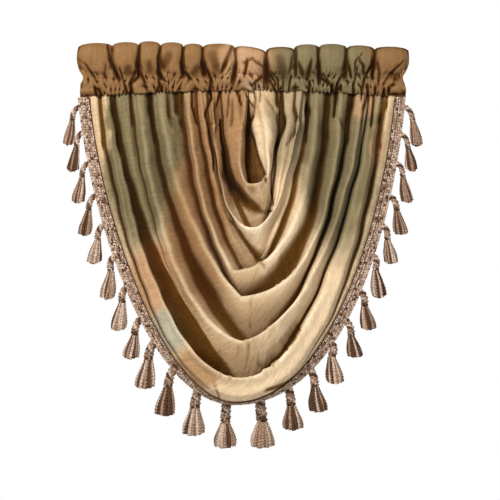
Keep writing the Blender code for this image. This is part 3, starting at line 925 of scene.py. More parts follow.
def satin_material(name, cloth, ground, spots, painted_shade_share=1.0):
    """Crushed satin in its dye, with a share of the painted shade of its hollows and the painted
    highlight of its rims.
    """
    paint = Paint(name, Specular_IOR_Level=0.12, Sheen_Weight=0.1, Sheen_Roughness=0.35)
    colour = dyed(paint, cloth, ground, spots)
    mottle = paint.noise(paint.place, 55.0, 4.0, 0.6)
    colour = paint.blend(paint.ramp(mottle, 0.3, 0.75, 0.0, 0.3), colour,
                         paint.tinted(colour, MOTTLE_TINT))
    # Painted shade read from the mesh: the colour is tinted and darkened deep in the folds and
    # creases, where shade falls
    hollow = paint.node("ShaderNodeAttribute", {"attribute_name": "hollow"}, output="Fac")
    hollow = hollow * painted_shade_share
    deep = paint.tinted(colour, tuple(cloth.hollow))
    deep = paint.blend(paint.ramp(hollow, VALLEY_SHADE, 1.0), deep, paint.tinted(deep, DEEP_SHADE_TINT))
    colour = paint.blend(paint.ramp(hollow, 0.0, VALLEY_SHADE, 0.0, 0.97), colour, deep)
    # Painted highlight: where the value is below 0, on the rolled rims, the colour is screened
    # paler
    pale = paint.ramp(-1.0 * hollow, 0.0, RIM_HIGHLIGHT, 0.0, 0.4)
    colour = paint.blend(pale, colour, paint.tinted(colour, RIM_HIGHLIGHT_TINT, "SCREEN"))
    paint.feed(paint.shader.inputs["Roughness"], paint.ramp(hollow, 0.0, VALLEY_SHADE, 0.5, 0.95))
    cloth_place = paint.node("ShaderNodeUVMap", {"uv_map": "cloth"})
    threads = paint.vector("MULTIPLY", cloth_place, THREAD_SCALE)
    slub = paint.noise(threads, 1.0, 3.0, 0.6)
    puckers = paint.vector("MULTIPLY", cloth_place, PUCKER_SCALE)
    pucker = paint.noise(puckers, 1.0, 2.0, 0.5)
    crinkle = paint.noise(paint.place, 120.0, 3.0, 0.55)
    crumple = paint.noise(paint.place, 32.0, 3.0, 0.5)
    creased = paint.ramp(pucker, 0.42, 0.66, 0.0, 0.3)
    colour = paint.blend(creased, colour, paint.tinted(colour, PUCKER_TINT))
    return paint.wear(colour, (crumple, 3.4 * MM), (pucker, 1.8 * MM), (crinkle, 1.2 * MM),
                      (slub, 0.4 * MM))


# Yarns of the trim, and the place of each in a piece's list of materials
YARNS = ("pale", "rose", "dark")
PALE, ROSE, DARK = range(3)


def yarn_material(name, colour):
    paint = Paint(name, Roughness=0.62, Sheen_Weight=0.3, Sheen_Roughness=0.4)
    fleck = paint.noise(paint.place, 300.0, 3.0, 0.6)
    deep = tuple(part * 0.58 for part in colour)
    pale = tuple(min(part * 1.2, 1.0) for part in colour)
    mottled = paint.blend(paint.ramp(fleck, 0.3, 0.7), deep, pale)
    fibres = paint.noise(paint.place, 1500.0, 2.0, 0.5)
    return paint.wear(mottled, (fibres, 0.3 * MM))


def yarn_materials(trim):
    made = []
    for name in YARNS:
        ready = bpy.data.materials.get(f"{name}_yarn")
        made.append(ready or yarn_material(f"{name}_yarn", tuple(getattr(trim, name))))
    return made


def gather_wave(x, pitch):
    """Uneven gathers: broad ridges between narrow valleys, from -1 to 1."""
    turn = x / pitch * math.pi
    for length, shift, phase in GATHER_SHIFTS:
        turn = turn + shift * np.sin(x / (length * MM) + phase)
    return 2.0 * np.abs(np.cos(turn)) - 1.0


def hollow_shade(across, rows_per_step):
    """The painted shade of the swag's hollows at each row and column, below 0 a painted highlight
    on its rims.
    """
    lines = np.concatenate([[0], np.cumsum([fold.steps for fold in FOLDS])])
    starts = {fold.name: line for fold, line in zip(FOLDS, lines)}
    steps = np.arange(lines[-1] * rows_per_step + 1)[:, None] / rows_per_step
    shade = np.zeros((len(steps), len(across)))
    for hollow in PAINTED_SHADES:
        reach = np.interp(across, PAINTED_SHADE_PLACES, hollow[1:])
        beyond = steps - starts[hollow.fold]
        inward = smoothstep(reach + PAINTED_SHADE_EDGE, reach - PAINTED_SHADE_EDGE, beyond)
        outward = smoothstep(-PAINTED_SHADE_BACK, 0.0, beyond)
        shade = np.maximum(shade, VALLEY_SHADE * inward * outward)
    low = smoothstep(*LOW_PART, 1.0 - np.abs(2.0 * across - 1.0))
    for valley, rim in APRONS:
        share = (steps - starts[valley]) / (starts[rim] - starts[valley])
        soft = smoothstep(*APRON_START, share) * smoothstep(*APRON_FADE, share)
        shade = np.maximum(shade, APRON_SHADE * low * soft)
    for rim, reach in HIGHLIGHT_RIMS.items():
        ridge = np.exp(-((steps - starts[rim]) / reach) ** 2) * mix(SIDE_HIGHLIGHT_SHARE, 1.0, low)
        shade = shade - RIM_HIGHLIGHT * ridge * (1.0 - shade / VALLEY_SHADE)
    return shade


def wander_of(points, drop):
    """How far the cloth strays at each point, in crossing waves of uneven lengths."""
    x, z = points[..., 0] / MM, points[..., 2] / MM
    aside = np.sin(z / 29 + x / 53) + 0.7 * np.sin(z / 13 - x / 31 + 1.0)
    outward = np.sin(x / 19 + 2.0 * np.sin(z / 61)) * np.sin(z / 33 + 1.3 * np.sin(x / 47))
    outward = outward + 0.5 * np.sin(x / 9 + z / 17) * np.sin(z / 21 - x / 15)
    strays = np.stack([aside * WANDER_ASIDE, outward * WANDER_OUTWARD, np.zeros_like(x)], axis=-1)
    return strays * smoothstep(*WANDER_DROP, drop)[..., None]


def crease_marks(points, creases):
    """How deep the creases leave each point, and the painted shade they put there, seen from the
    front.
    """
    x, z = points[..., 0], points[..., 2]
    depth = np.zeros_like(x)
    dark = np.zeros_like(x)
    for crease in creases:
        run_x = (crease.to_x - crease.x) * MM
        run_z = (crease.to_z - crease.z) * MM
        length = math.hypot(run_x, run_z)
        away_x = x - crease.x * MM
        away_z = z - crease.z * MM
        along = (away_x * run_x + away_z * run_z) / length
        share = np.clip(along / length, 0.0, 1.0)
        bow = 4.0 * crease.bow * MM * share * (1.0 - share)
        aside = (away_z * run_x - away_x * run_z) / length - bow
        beyond = along - share * length
        width = mix(crease.width, crease.to_width, share) * MM
        slender = smoothstep(*CREASE_SLENDER, length / (crease.width * MM))
        away = np.hypot(aside, mix(1.0, CREASE_TAPER, slender) * beyond) / width
        depth += crease.depth * MM * np.exp(-away ** 2)
        dark = np.maximum(dark, crease.dark * np.exp(-(away / CREASE_SHADE_REACH) ** 3))
    return depth, dark


def crinkle_creases(crinkles):
    """The short creases of each row of crinkles, as uneven as cloth makes them."""
    rng = random.Random(3)
    made = []
    for row in crinkles:
        for index in range(row.count):
            share = (index + rng.uniform(0.2, 0.8)) / row.count
            x = mix(row.x, row.to_x, share)
            z = mix(row.z, row.to_z, share)
            lean = math.radians(row.lean + rng.uniform(-10.0, 10.0))
            half = row.reach * rng.uniform(0.35, 0.65)
            depth = row.depth * rng.uniform(0.6, 1.2)
            made.append(Crease(x - half * math.sin(lean), z - half * math.cos(lean),
                               x + half * math.sin(lean), z + half * math.cos(lean),
                               CRINKLE_WIDTH, CRINKLE_WIDTH, depth, CRINKLE_SHADE * row.depth))
    return made


def add_shade(bm, values):
    """The painted shade of each point as a mesh attribute, below 0 a painted highlight, in the
    order of the grid's rows and columns.
    """
    layer = bm.verts.layers.float.new("hollow")
    for vert, value in zip(bm.verts, values.ravel()):
        vert[layer] = value


def swag_surface(cloth, across):
    """Points of the swag with its gathers and creases, and the painted shade of each."""
    points = swag_rows(across, ROWS_PER_STEP)
    top_x = np.where(across <= 0.5, points[:, :1, 0], points[:, -1:, 0])
    drop = seam_z(top_x) - points[..., 2]
    depth, dark = crease_marks(points, SWAG_CREASES + crinkle_creases(CRINKLES))
    shade = hollow_shade(across, ROWS_PER_STEP)
    shade = np.maximum(shade, dark + np.minimum(shade, 0.0))
    row = np.arange(len(points))[:, None]
    drifted = top_x + GATHER_DRIFT * drop * np.sin(top_x / GATHER_DRIFT_LENGTH)
    fade = SEAM_GATHER * np.exp(-drop / GATHER_DROP) * smoothstep(*GATHER_ROWS, row)
    height = cloth.gather_depth * fade * gather_wave(drifted, cloth.gather_pitch)
    points[..., 1] *= mix(SEAM_FLATNESS, 1.0, smoothstep(*SEAM_OPENS, drop))
    inside = smoothstep(*WANDER_ROWS, row)
    points += inside[..., None] * wander_of(points, drop)
    points[..., 2] += TUCK_RISE * inside * smoothstep(TUCK_DROP, 0.0, drop)
    outward = grid_normals(points)
    outward *= np.where(outward[..., 1:2] > 0.0, -1.0, 1.0)
    points = points - outward * depth[..., None]
    points[..., 1] -= height
    return points, shade


class VALANCE_OT_swag(bpy.types.Operator):
    """Hang the satin swag in its cowl folds from the seam"""

    bl_idname = "valance.swag"
    bl_label = "Swag"

    def execute(self, context):
        cloth = context.scene.valance_cloth
        points, shade = swag_surface(cloth, np.linspace(0.0, 1.0, SWAG_COLUMNS + 1))
        uv = np.stack([lengths_along(points, 1), lengths_along(points, 0)], axis=-1)
        bm = moved_grid(points, uv)
        add_shade(bm, shade)
        back = satin_material("swag_satin_back", cloth, cloth.cream, SWAG_SPOTS, BACK_PAINTED_SHADE_SHARE)
        front = satin_material("swag_satin", cloth, cloth.cream, SWAG_SPOTS)
        thing = make_object(bm, "swag_cloth", back, front)
        wall = thing.modifiers.new("cloth", "SOLIDIFY")
        wall.thickness = cloth.thickness
        wall.offset = 0.0
        wall.thickness_clamp = 1.0
        wall.material_offset = 1
        place_piece(thing, "swag")
        return {"FINISHED"}


def puff_bulge(share, gap):
    """How full a puff stands across its width, from its crease to its middle."""
    inner = min(max((share - gap) / (1.0 - 2.0 * gap), 0.0), 1.0)
    return max(math.sin(math.pi * inner), 0.0) ** PUFF_ROUNDNESS


def heading_station(index, share):
    """Ring of points round the heading at a share of the way across one puff."""
    puff = PUFFS[index]
    left = HEADER_LEFT if index == 0 else PUFFS[index - 1].right
    x = mix(left, puff.right, share) * MM
    edge = puff_bulge(share, CREASE_GAP)
    top = mix(puff.top_left, puff.top_right, share) * MM - HEADER_NOTCH * (1.0 - edge)
    bottom = seam_z(x)
    ring = []
    for point in HEADING_SECTION:
        back = BACK_SHARE if point.side > 0 else 1.0
        if point.part == "pocket":
            z = mix(bottom, STITCH_Z, point.rise)
            out = POCKET_HALF_DEPTH * point.out
        else:
            z = mix(STITCH_Z, top, point.rise)
            waist = PUFF_WAIST * (1.0 - float(smoothstep(*WAIST_OPENS, point.rise)))
            bulge = puff_bulge(share, CREASE_GAP + waist)
            depth = PUFF_DEPTH * puff.fullness * mix(CREASE_SHARE, 1.0, bulge)
            out = max(depth * back * point.out, PINCH_HALF_DEPTH)
        if point.rise in (0.0, 1.0):
            out = PINCH_HALF_DEPTH if z == STITCH_Z else 0.0
        narrow = math.exp(-((z - STITCH_Z) / STITCH_REACH) ** 2)
        header = smoothstep(STITCH_Z - STITCH_REACH, STITCH_Z + STITCH_REACH, z)
        width = mix(POCKET_WIDTH_SHARE, 1.0, header) * mix(1.0, STITCH_WIDTH_SHARE, narrow)
        ring.append((x * width, point.side * out, z))
    return ring


def rounded_rings(rings, steps):
    """Smooth closed rings through the points of each ring, with steps between two."""
    made = []
    count = rings.shape[1]
    for index in range(count):
        four = [rings[:, (index + shift) % count] for shift in (-1, 0, 1, 2)]
        for step in range(steps):
            made.append(between(*four, step / steps))
    return np.stack(made, axis=1)


def heading_rings():
    """Smooth rings of points round the heading, from its left end to its right one."""
    stations = []
    for index in range(len(PUFFS)):
        for step in range(STATIONS_PER_PUFF):
            stations.append(heading_station(index, step / STATIONS_PER_PUFF))
    stations.append(heading_station(len(PUFFS) - 1, 1.0))
    return rounded_rings(np.array(stations), RING_STEPS)


def crossing_gathers(x, rise, pitch):
    """The first set of leaning gathers, and both sets together in sharper ridges."""
    sway = GATHER_SWAY * rise * np.sin(x / GATHER_SWAY_LENGTH)
    one, two = [gather_wave(x + lean * rise + sway + start, share * pitch)
                for lean, start, share in LEANING_GATHERS]
    return one, np.maximum(one, two) * 1.3 - 0.5 * np.minimum(one, two) - 0.55


def heading_surface(cloth):
    """Points of the heading with its gathers and creases, and the painted shade of each."""
    points = heading_rings()
    x, z = points[..., 0].copy(), points[..., 2].copy()
    on_front = points[..., 1] < 0.0
    rise = z - STITCH_Z
    pocket = smoothstep(STITCH_BLEND, -STITCH_BLEND, rise)
    fan = np.exp(-np.maximum(rise, 0.0) / FAN_RISE)
    amount = cloth.gather_depth * mix(FAN_GATHER * fan, POCKET_GATHER, pocket)
    amount = amount * (SWELL_MEAN + SWELL * np.sin(x / SWELL_LENGTH + 1.0))
    off_seam = smoothstep(0.0, SEAM_EDGE, z - seam_z(x))
    first, wave = crossing_gathers(x, rise, cloth.gather_pitch)
    height = amount * off_seam * wave
    depth, dark = crease_marks(points, HEADING_CREASES)
    height = np.where(on_front, height - depth, BACK_GATHER_SHARE * height)
    points[..., 1] += np.sign(points[..., 1]) * height
    points[..., 1] = np.where(on_front, np.minimum(points[..., 1], -LEAST_HALF_DEPTH),
                              points[..., 1])
    low = smoothstep(*SCALLOP_RISE, z - seam_z(x)) * off_seam
    points[..., 2] -= low * (SCALLOP_FALL + SCALLOP_DEPTH * first)
    high = np.clip((z + END_CORNER_RISE) / END_CORNER_RISE, 0.0, 1.0)
    end = smoothstep(END_CORNER_FROM, END_CORNER_TO, np.abs(x))
    inset = END_CORNER * (1.0 - np.sqrt(np.maximum(1.0 - high * high, 0.0)))
    points[..., 0] -= np.sign(x) * end * inset
    shade = np.clip((GATHER_SHADE_BELOW - wave) * GATHER_SHADE, 0.0, GATHER_SHADE_MOST)
    shade = shade * off_seam * np.maximum(pocket, fan)
    groove = np.interp(np.abs(points[..., 1]), GROOVE_HALF_DEPTHS, (1.0, 0.0))
    groove = groove * smoothstep(*GROOVE_RISE, rise) * smoothstep(*GROOVE_TOP, z)
    shade = np.maximum(shade, groove * GROOVE_SHADE)
    dark = dark * mix(1.0, HIGH_SHADE_SHARE, smoothstep(*HIGH_Z, z))
    return points, np.maximum(shade, dark * on_front)


class VALANCE_OT_heading(bpy.types.Operator):
    """Gather the heading's strip of satin into its puffs and rod pocket"""

    bl_idname = "valance.heading"
    bl_label = "Heading"

    def execute(self, context):
        cloth = context.scene.valance_cloth
        points, shade = heading_surface(cloth)
        closed = np.concatenate([points, points[:, :1]], axis=1)
        uv = np.stack([closed[..., 0], lengths_along(closed, 1)], axis=-1)
        bm = moved_grid(closed, uv)
        add_shade(bm, np.concatenate([shade, shade[:, :1]], axis=1))
        bmesh.ops.remove_doubles(bm, verts=bm.verts, dist=0.00001)
        satin = satin_material("heading_satin", cloth, cloth.bronze, HEADING_SPOTS)
        thing = make_object(bm, "heading_cloth", satin)
        wall = thing.modifiers.new("cloth", "SOLIDIFY")
        wall.thickness = cloth.wall
        wall.offset = -1.0
        place_piece(thing, "heading")
        return {"FINISHED"}


# A twisted cord: its points, its radius at each, its turns, its yarn, and whether its
# ends meet. Below it are the points of its section and how far from round that is.
Cord = namedtuple("Cord", "points radii turns yarn closed")
PLY_POINTS = 8
PLY_DEPTH = 0.2


def ply_section():
    """Cross section of a cord of two plies, one unit in radius."""
    curve = bpy.data.curves.new("ply_section", "CURVE")
    curve.dimensions = "2D"
    spline = curve.splines.new("POLY")
    spline.points.add(PLY_POINTS - 1)
    for index, point in enumerate(spline.points):
        turn = 2.0 * math.pi * index / PLY_POINTS
        radius = 1.0 + PLY_DEPTH * math.cos(2.0 * turn)
        point.co = (radius * math.cos(turn), radius * math.sin(turn), 0.0, 1.0)
    spline.use_cyclic_u = True
    return add_object("ply_section", curve)


def cords_mesh(name, cords):
    """One mesh of all the cords, each swept along its points by the ply section."""
    section = ply_section()
    curve = bpy.data.curves.new(name, "CURVE")
    curve.dimensions = "3D"
    curve.bevel_mode = "OBJECT"
    curve.bevel_object = section
    curve.use_fill_caps = True
    for _ in YARNS:
        curve.materials.append(None)
    for cord in cords:
        spline = curve.splines.new("POLY")
        count = len(cord.points)
        spline.points.add(count - 1)
        places = np.ones((count, 4))
        places[:, :3] = cord.points
        spline.points.foreach_set("co", places.ravel())
        spline.points.foreach_set("radius", np.broadcast_to(cord.radii, count).copy())
        last = count if cord.closed else count - 1
        tilts = 2.0 * math.pi * cord.turns * np.arange(count) / last
        spline.points.foreach_set("tilt", tilts)
        spline.use_cyclic_u = cord.closed
        spline.use_smooth = True
        spline.material_index = cord.yarn
    sweep = add_object(name, curve)
    depsgraph = bpy.context.evaluated_depsgraph_get()
    mesh = bpy.data.meshes.new_from_object(sweep.evaluated_get(depsgraph))
    bpy.data.objects.remove(sweep)
    bpy.data.objects.remove(section)
    return mesh


# Braid: how far its middle lies in front of the swag's middle, and the samples along it
BRAID_LIFT = 0.9 * MM + PART_GAP + 1.5 * MM
BRAID_SAMPLES = 1200

# A chain's stitch: its half length as a share of the stitch pitch, its half width and its
# distance from the chain's middle as shares of the chain's width, its half thickness, how
# far it stands in front of the tape, its lean in radians, and the share of each yarn
STITCH_HALF_LENGTH = 0.62
STITCH_HALF_WIDTH = 0.30
STITCH_ASIDE = 0.26
STITCH_HALF_THICKNESS = 1.5 * MM
STITCH_LIFT = 0.9 * MM
STITCH_LEAN = 0.5
STITCH_YARNS = (0.45, 0.42, 0.13)

# The cord along each edge: where it lies across the braid and its yarn, its radius, how
# far it stands in front of the tape, and the length of its points and of its turns in
# points
# The inner cord's dark yarn is partly the braid's own colour and partly painted shade: its dark
# line stands for the thin shadow along the braid's inner edge
EDGE_CORDS = ((0.02, PALE), (0.98, DARK))
EDGE_RADIUS = 1.5 * MM
EDGE_LIFT = 0.5 * MM
EDGE_PITCH = 1.7 * MM
EDGE_TURN_POINTS = 5.0

# The tape behind the stitches: the samples from one of its columns to the next, how far
# it lies behind the braid's middle, and its thickness
TAPE_STEP = 3
TAPE_BACK = 0.6 * MM
TAPE_THICKNESS = 1.2 * MM


def braid_grid(across):
    """Points of the braid's middle sheet: rows from its outer edge to its inner one."""
    rows = swag_rows(across, 1)[:BRAID_ROWS + 1]
    along = np.gradient(rows[0], axis=0)
    inward = unit(rows[-1] - rows[0])
    front = unit(np.cross(along, inward))
    front = np.where(front[:, 1:2] > 0.0, -front, front)
    lifted = rows + front * BRAID_LIFT
    outer = lifted[0] - inward * BRAID_OVERHANG
    return np.concatenate([outer[None], lifted]), front


def braid_place(grid, share):
    """The line along the braid at a share of the way from its outer to its inner edge."""
    place = share * (len(grid) - 1)
    row = min(int(place), len(grid) - 2)
    return mix(grid[row], grid[row + 1], place - row)


def even_samples(points, pitch):
    """Places, as a share of the samples, that lie a pitch apart along the points."""
    run = np.linalg.norm(np.diff(points, axis=0), axis=1)
    along = np.concatenate([[0.0], np.cumsum(run)])
    count = int(along[-1] / pitch)
    wanted = (np.arange(count) + 0.5) * along[-1] / count
    return np.interp(wanted, along, np.arange(len(points)))


def at_samples(points, places):
    samples = np.arange(len(points))
    return np.stack([np.interp(places, samples, points[:, axis]) for axis in range(3)], axis=-1)


def stitch_template():
    """One plump stitch of yarn, a unit long each way from its middle."""
    bm = bmesh.new()
    bmesh.ops.create_uvsphere(bm, u_segments=6, v_segments=5, radius=1.0,
                              matrix=Matrix.Rotation(math.pi / 2.0, 4, "Y"))
    return plain_mesh(bm, "stitch_template")


def stitch_matrix(place, along, front, lean, half_sizes):
    """Where a stitch lies: turned by lean in the plane of the braid."""
    side = front.cross(along).normalized()
    run = (along.normalized() * math.cos(lean) + side * math.sin(lean)).normalized()
    wide = front.cross(run).normalized()
    turn = Matrix((run, wide, front)).transposed().to_4x4()
    return Matrix.Translation(place) @ turn @ Matrix.Diagonal((*half_sizes, 1.0))


def add_chain(bm, line, front, widths, pitch, template, rng):
    """One chain of the braid: two leaning stitches side by side at each pitch."""
    places = even_samples(line, pitch)
    centres = at_samples(line, places)
    ways = at_samples(np.gradient(line, axis=0), places)
    outs = at_samples(front, places)
    wides = np.interp(places, np.arange(len(widths)), widths)
    for centre, way, out, wide in zip(centres, ways, outs, wides):
        way = Vector(way).normalized()
        out = Vector(out).normalized()
        side = out.cross(way)
        for sign in (-1.0, 1.0):
            sizes = (STITCH_HALF_LENGTH * pitch * rng.uniform(0.9, 1.15),
                     STITCH_HALF_WIDTH * wide,
                     STITCH_HALF_THICKNESS * rng.uniform(0.8, 1.2))
            place = Vector(centre) + side * (sign * STITCH_ASIDE * wide) + out * STITCH_LIFT
            copy = template.copy()
            copy.transform(stitch_matrix(place, way, out, sign * STITCH_LEAN, sizes))
            yarn = rng.choices((PALE, ROSE, DARK), STITCH_YARNS)[0]
            copy.polygons.foreach_set("material_index", [yarn] * len(copy.polygons))
            take_mesh(bm, copy)


def edge_cords(grid, front):
    """The cord along each edge of the braid."""
    cords = []
    for share, yarn in EDGE_CORDS:
        line = braid_place(grid, share) + front * EDGE_LIFT
        points = at_samples(line, even_samples(line, EDGE_PITCH))
        cords.append(Cord(points, EDGE_RADIUS, len(points) / EDGE_TURN_POINTS, yarn, False))
    return cords


def tape_mesh(grid, front):
    """The tape behind the stitches."""
    bm = moved_grid(grid[:, ::TAPE_STEP] - front[::TAPE_STEP] * TAPE_BACK)
    for face in bm.faces:
        face.material_index = ROSE
    bmesh.ops.solidify(bm, geom=bm.faces[:], thickness=TAPE_THICKNESS)
    return plain_mesh(bm, "braid_tape")


class VALANCE_OT_braid(bpy.types.Operator):
    """Weave the braid: a tape with chains of stitches and a cord along each edge"""

    bl_idname = "valance.braid"
    bl_label = "Braid"

    def execute(self, context):
        trim = context.scene.valance_trim
        yarns = yarn_materials(trim)
        rng = random.Random(7)
        grid, front = braid_grid(np.linspace(0.0, 1.0, BRAID_SAMPLES))
        widths = np.linalg.norm(grid[-1] - grid[0], axis=-1) / trim.chains
        bm = bmesh.new()
        template = stitch_template()
        for chain in range(trim.chains):
            line = braid_place(grid, (chain + 0.5) / trim.chains)
            add_chain(bm, line, front, widths, trim.stitch_pitch, template, rng)
        bpy.data.meshes.remove(template)
        take_mesh(bm, cords_mesh("braid_edges", edge_cords(grid, front)))
        take_mesh(bm, tape_mesh(grid, front))
        thing = make_object(bm, "braid_weave", *yarns)
        place_piece(thing, "braid")
        return {"FINISHED"}


def tassel_root(edge, outs, target):
    """Point of the braid's outer edge nearest to the target, seen from the front."""
    start = edge[:-1]
    run = edge[1:] - start
    flat = run * np.array([1.0, 0.0, 1.0])
    share = np.sum((target - start) * flat, axis=1) / np.sum(flat * flat, axis=1)
    share = np.clip(share, 0.0, 1.0)[:, None]
    points = start + run * share
    away = (points - target) * np.array([1.0, 0.0, 1.0])
    best = int(np.argmin(np.linalg.norm(away, axis=1)))
    return Vector(points[best]), Vector(outs[best])


def hem_edge(grid):
    """Outer edge of the braid, and which way is out of it at each point."""
    run = unit(np.gradient(grid[0], axis=0))
    inward = grid[1] - grid[0]
    return grid[0], unit(run * np.sum(inward * run, axis=1, keepdims=True) - inward)


def neck_frame(start, bend, end, share):
    """A point of the neck's curve, the way it runs there, and across it and out of it."""
    rest = 1.0 - share
    centre = start * rest * rest + bend * 2.0 * rest * share + end * share * share
    heading = ((bend - start) * rest + (end - bend) * share).normalized()
    wide = heading.cross(Vector((0.0, 1.0, 0.0))).normalized()
    return centre, heading, wide, wide.cross(heading).normalized()


# Points along each cord of a tassel
NECK_POINTS = 22
SKIRT_POINTS = 26
KNOT_POINTS = 16

# Neck of a tassel: the yarns of its twisted cords, their turns round each other and about
# themselves, and in millimetres at full girth their radius, the radius at the root, how
# far they lie from the neck's middle to the sides, and how far to the front at the root
# and lower down
NECK_YARNS = (ROSE, DARK, PALE)
NECK_TWIST = 1.4
NECK_TURNS = 4.0
NECK_RADIUS = 4.8
NECK_ROOT_RADIUS = 3.2
NECK_HALF_WIDTH = 5.4
NECK_HALF_DEPTHS = (2.2, 4.4)

# Loops of cord round the neck, from the knot down to the collar: where along it, how
# steeply each is tilted, how far it reaches in millimetres at full girth, and its yarn
Loop = namedtuple("Loop", "share tilt reach yarn")
LOOPS = (
    Loop(0.66, 0.5, 9.0, ROSE),
    Loop(0.70, -0.55, 9.0, PALE),
    Loop(0.80, 0.25, 9.4, ROSE),
    Loop(0.93, 0.0, 8.6, DARK),
)
LOOP_RADIUS = 2.3
LOOP_TURNS = 5.0
LOOP_DEPTH_SHARE = 0.82

# Skirt: its depth as a share of its width, the reach of its inner ring of yarns, how much
# thicker each yarn is than its place in its ring, its turns, the half sizes of the skirt
# at its top in millimetres at full girth, the turn and the power of the sine by which it
# flares from there, and the share of each yarn in its outer ring
SKIRT_DEPTH_SHARE = 0.8
INNER_REACH = 0.58
YARN_FULLNESS = 1.12
YARN_TURNS = 4.5
SKIRT_TOP_HALF_WIDTH = 8.2
SKIRT_TOP_HALF_DEPTH = 6.6
FLARE_TURN = math.pi / 1.75
FLARE_POWER = 1.25
OUTER_YARNS = (0.2, 0.34, 0.46)


def neck_cords(start, bend, top, girth, rng):
    """Cords twisted round each other from the braid down to the skirt."""
    cords = []
    phase = rng.uniform(0.0, 2.0 * math.pi)
    for strand, yarn in enumerate(NECK_YARNS):
        points = []
        for index in range(NECK_POINTS):
            share = index / (NECK_POINTS - 1)
            centre, _, wide, deep = neck_frame(start, bend, top, share)
            turn = phase + 2.0 * math.pi * (strand / len(NECK_YARNS) + NECK_TWIST * share)
            half_depth = mix(*NECK_HALF_DEPTHS, smoothstep(0.0, 0.4, share)) * girth
            offset = wide * (math.cos(turn) * NECK_HALF_WIDTH * girth)
            offset += deep * (math.sin(turn) * half_depth)
            points.append(centre + offset)
        radii = np.full(NECK_POINTS, NECK_RADIUS * girth)
        radii[0] = NECK_ROOT_RADIUS * girth
        cords.append(Cord(np.array(points), radii, NECK_TURNS, yarn, False))
    return cords


def knot_cords(start, bend, top, girth, rng):
    """Loops of cord knotted round the neck, and the collar that gathers the skirt."""
    cords = []
    for loop in LOOPS:
        centre, heading, wide, deep = neck_frame(start, bend, top, loop.share)
        lift = loop.tilt + rng.uniform(-0.12, 0.12)
        points = []
        for index in range(KNOT_POINTS):
            turn = 2.0 * math.pi * index / KNOT_POINTS
            offset = wide * (math.cos(turn) * loop.reach * girth)
            offset += deep * (math.sin(turn) * loop.reach * LOOP_DEPTH_SHARE * girth)
            offset -= heading * (math.cos(turn) * lift * loop.reach * girth)
            points.append(centre + offset)
        cords.append(Cord(np.array(points), LOOP_RADIUS * girth, LOOP_TURNS, loop.yarn, True))
    return cords


def skirt_cords(row, top, bottom, girth, yarns, rng):
    """Yarns of the skirt: an outer ring, and a fuller one inside it."""
    cords = []
    half_wide = row.width * MM / 2.0
    half_deep = half_wide * SKIRT_DEPTH_SHARE
    rings = ((yarns, 1.0, 0), (yarns // 2, INNER_REACH, 1))
    for count, reach, ring in rings:
        around = math.pi * (half_wide + half_deep) * reach
        thick = around / (2.0 * count) * YARN_FULLNESS
        for index in range(count):
            turn = 2.0 * math.pi * (index + 0.5 * ring + rng.uniform(-0.25, 0.25)) / count
            long = 1.01 + rng.uniform(-0.04, 0.02) - 0.09 * math.cos(turn) ** 2
            sway = rng.uniform(0.0, 2.0 * math.pi)
            wave = rng.uniform(0.6, 1.6) * MM
            out = reach * rng.uniform(0.93, 1.0)
            points = []
            for step in range(SKIRT_POINTS):
                share = step / (SKIRT_POINTS - 1)
                centre = top.lerp(bottom, share * long)
                flare = math.sin(share * FLARE_TURN) ** FLARE_POWER
                wide = mix(SKIRT_TOP_HALF_WIDTH * girth, half_wide - thick, flare) * out
                deep = mix(SKIRT_TOP_HALF_DEPTH * girth, half_deep - thick, flare) * out
                drift = wave * math.sin(sway + 5.0 * share) * share
                points.append(centre + Vector((math.cos(turn) * wide + drift,
                                               math.sin(turn) * deep, 0.0)))
            shares = np.linspace(0.0, 1.0, SKIRT_POINTS)
            radii = mix(0.62 * thick, thick, smoothstep(0.0, 0.8, shares))
            yarn = rng.choices((PALE, ROSE, DARK), OUTER_YARNS)[0] if ring == 0 else DARK
            cords.append(Cord(np.array(points), radii, YARN_TURNS, yarn, False))
    return cords


class VALANCE_OT_tassels(bpy.types.Operator):
    """Hang the tassels: twisted necks, knotted heads and skirts of yarn"""

    bl_idname = "valance.tassels"
    bl_label = "Tassels"

    def execute(self, context):
        trim = context.scene.valance_trim
        yarns = yarn_materials(trim)
        grid, _ = braid_grid(np.linspace(0.0, 1.0, BRAID_SAMPLES))
        edge, outs = hem_edge(grid)
        for number, row in enumerate(TASSELS, start=1):
            rng = random.Random(number)
            sign = math.copysign(1.0, row.x)
            lean = TASSEL_LEAN * sign * float(smoothstep(0.0, TASSEL_LEAN_FROM, abs(row.x) * MM))
            top = Vector((row.x * MM - lean / 2.0, 0.0, row.z * MM))
            target = np.array(top + Vector((0.0, 0.0, NECK_SEARCH_RISE)))
            root, out = tassel_root(edge, outs, target)
            start = root + out * TASSEL_ROOT_GAP
            reach = (top.xz - start.xz).length
            top.y = start.y + out.y * reach / 3.0
            bend = start + out * reach * NECK_BEND_SHARE
            bottom = Vector((row.x * MM + lean / 2.0, top.y, (row.z - row.length) * MM))
            girth = max(row.width / TASSEL_FULL_WIDTH, TASSEL_SLIMMEST) * MM
            cords = neck_cords(start, bend, top, girth, rng)
            cords += knot_cords(start, bend, top, girth, rng)
            cords += skirt_cords(row, top, bottom, girth, trim.skirt_yarns, rng)
            bm = bmesh.new()
            take_mesh(bm, cords_mesh(f"tassel_{number:02d}_yarn", cords))
            thing = make_object(bm, f"tassel_{number:02d}_yarn", *yarns)
            place_piece(thing, f"tassel_{number:02d}")
        return {"FINISHED"}


# Round soft lights, all turned to the middle of the view: their place in metres, their
# power in watts and their width in metres
Light = namedtuple("Light", "name place power size")
LIGHTS = (
    Light("key", (-1.15, -2.35, 1.35), 110.0, 1.0),
    Light("fill", (2.3, -2.3, 0.5), 30.0, 2.0),
    Light("back", (1.1, 2.6, 1.0), 70.0, 1.4),
)

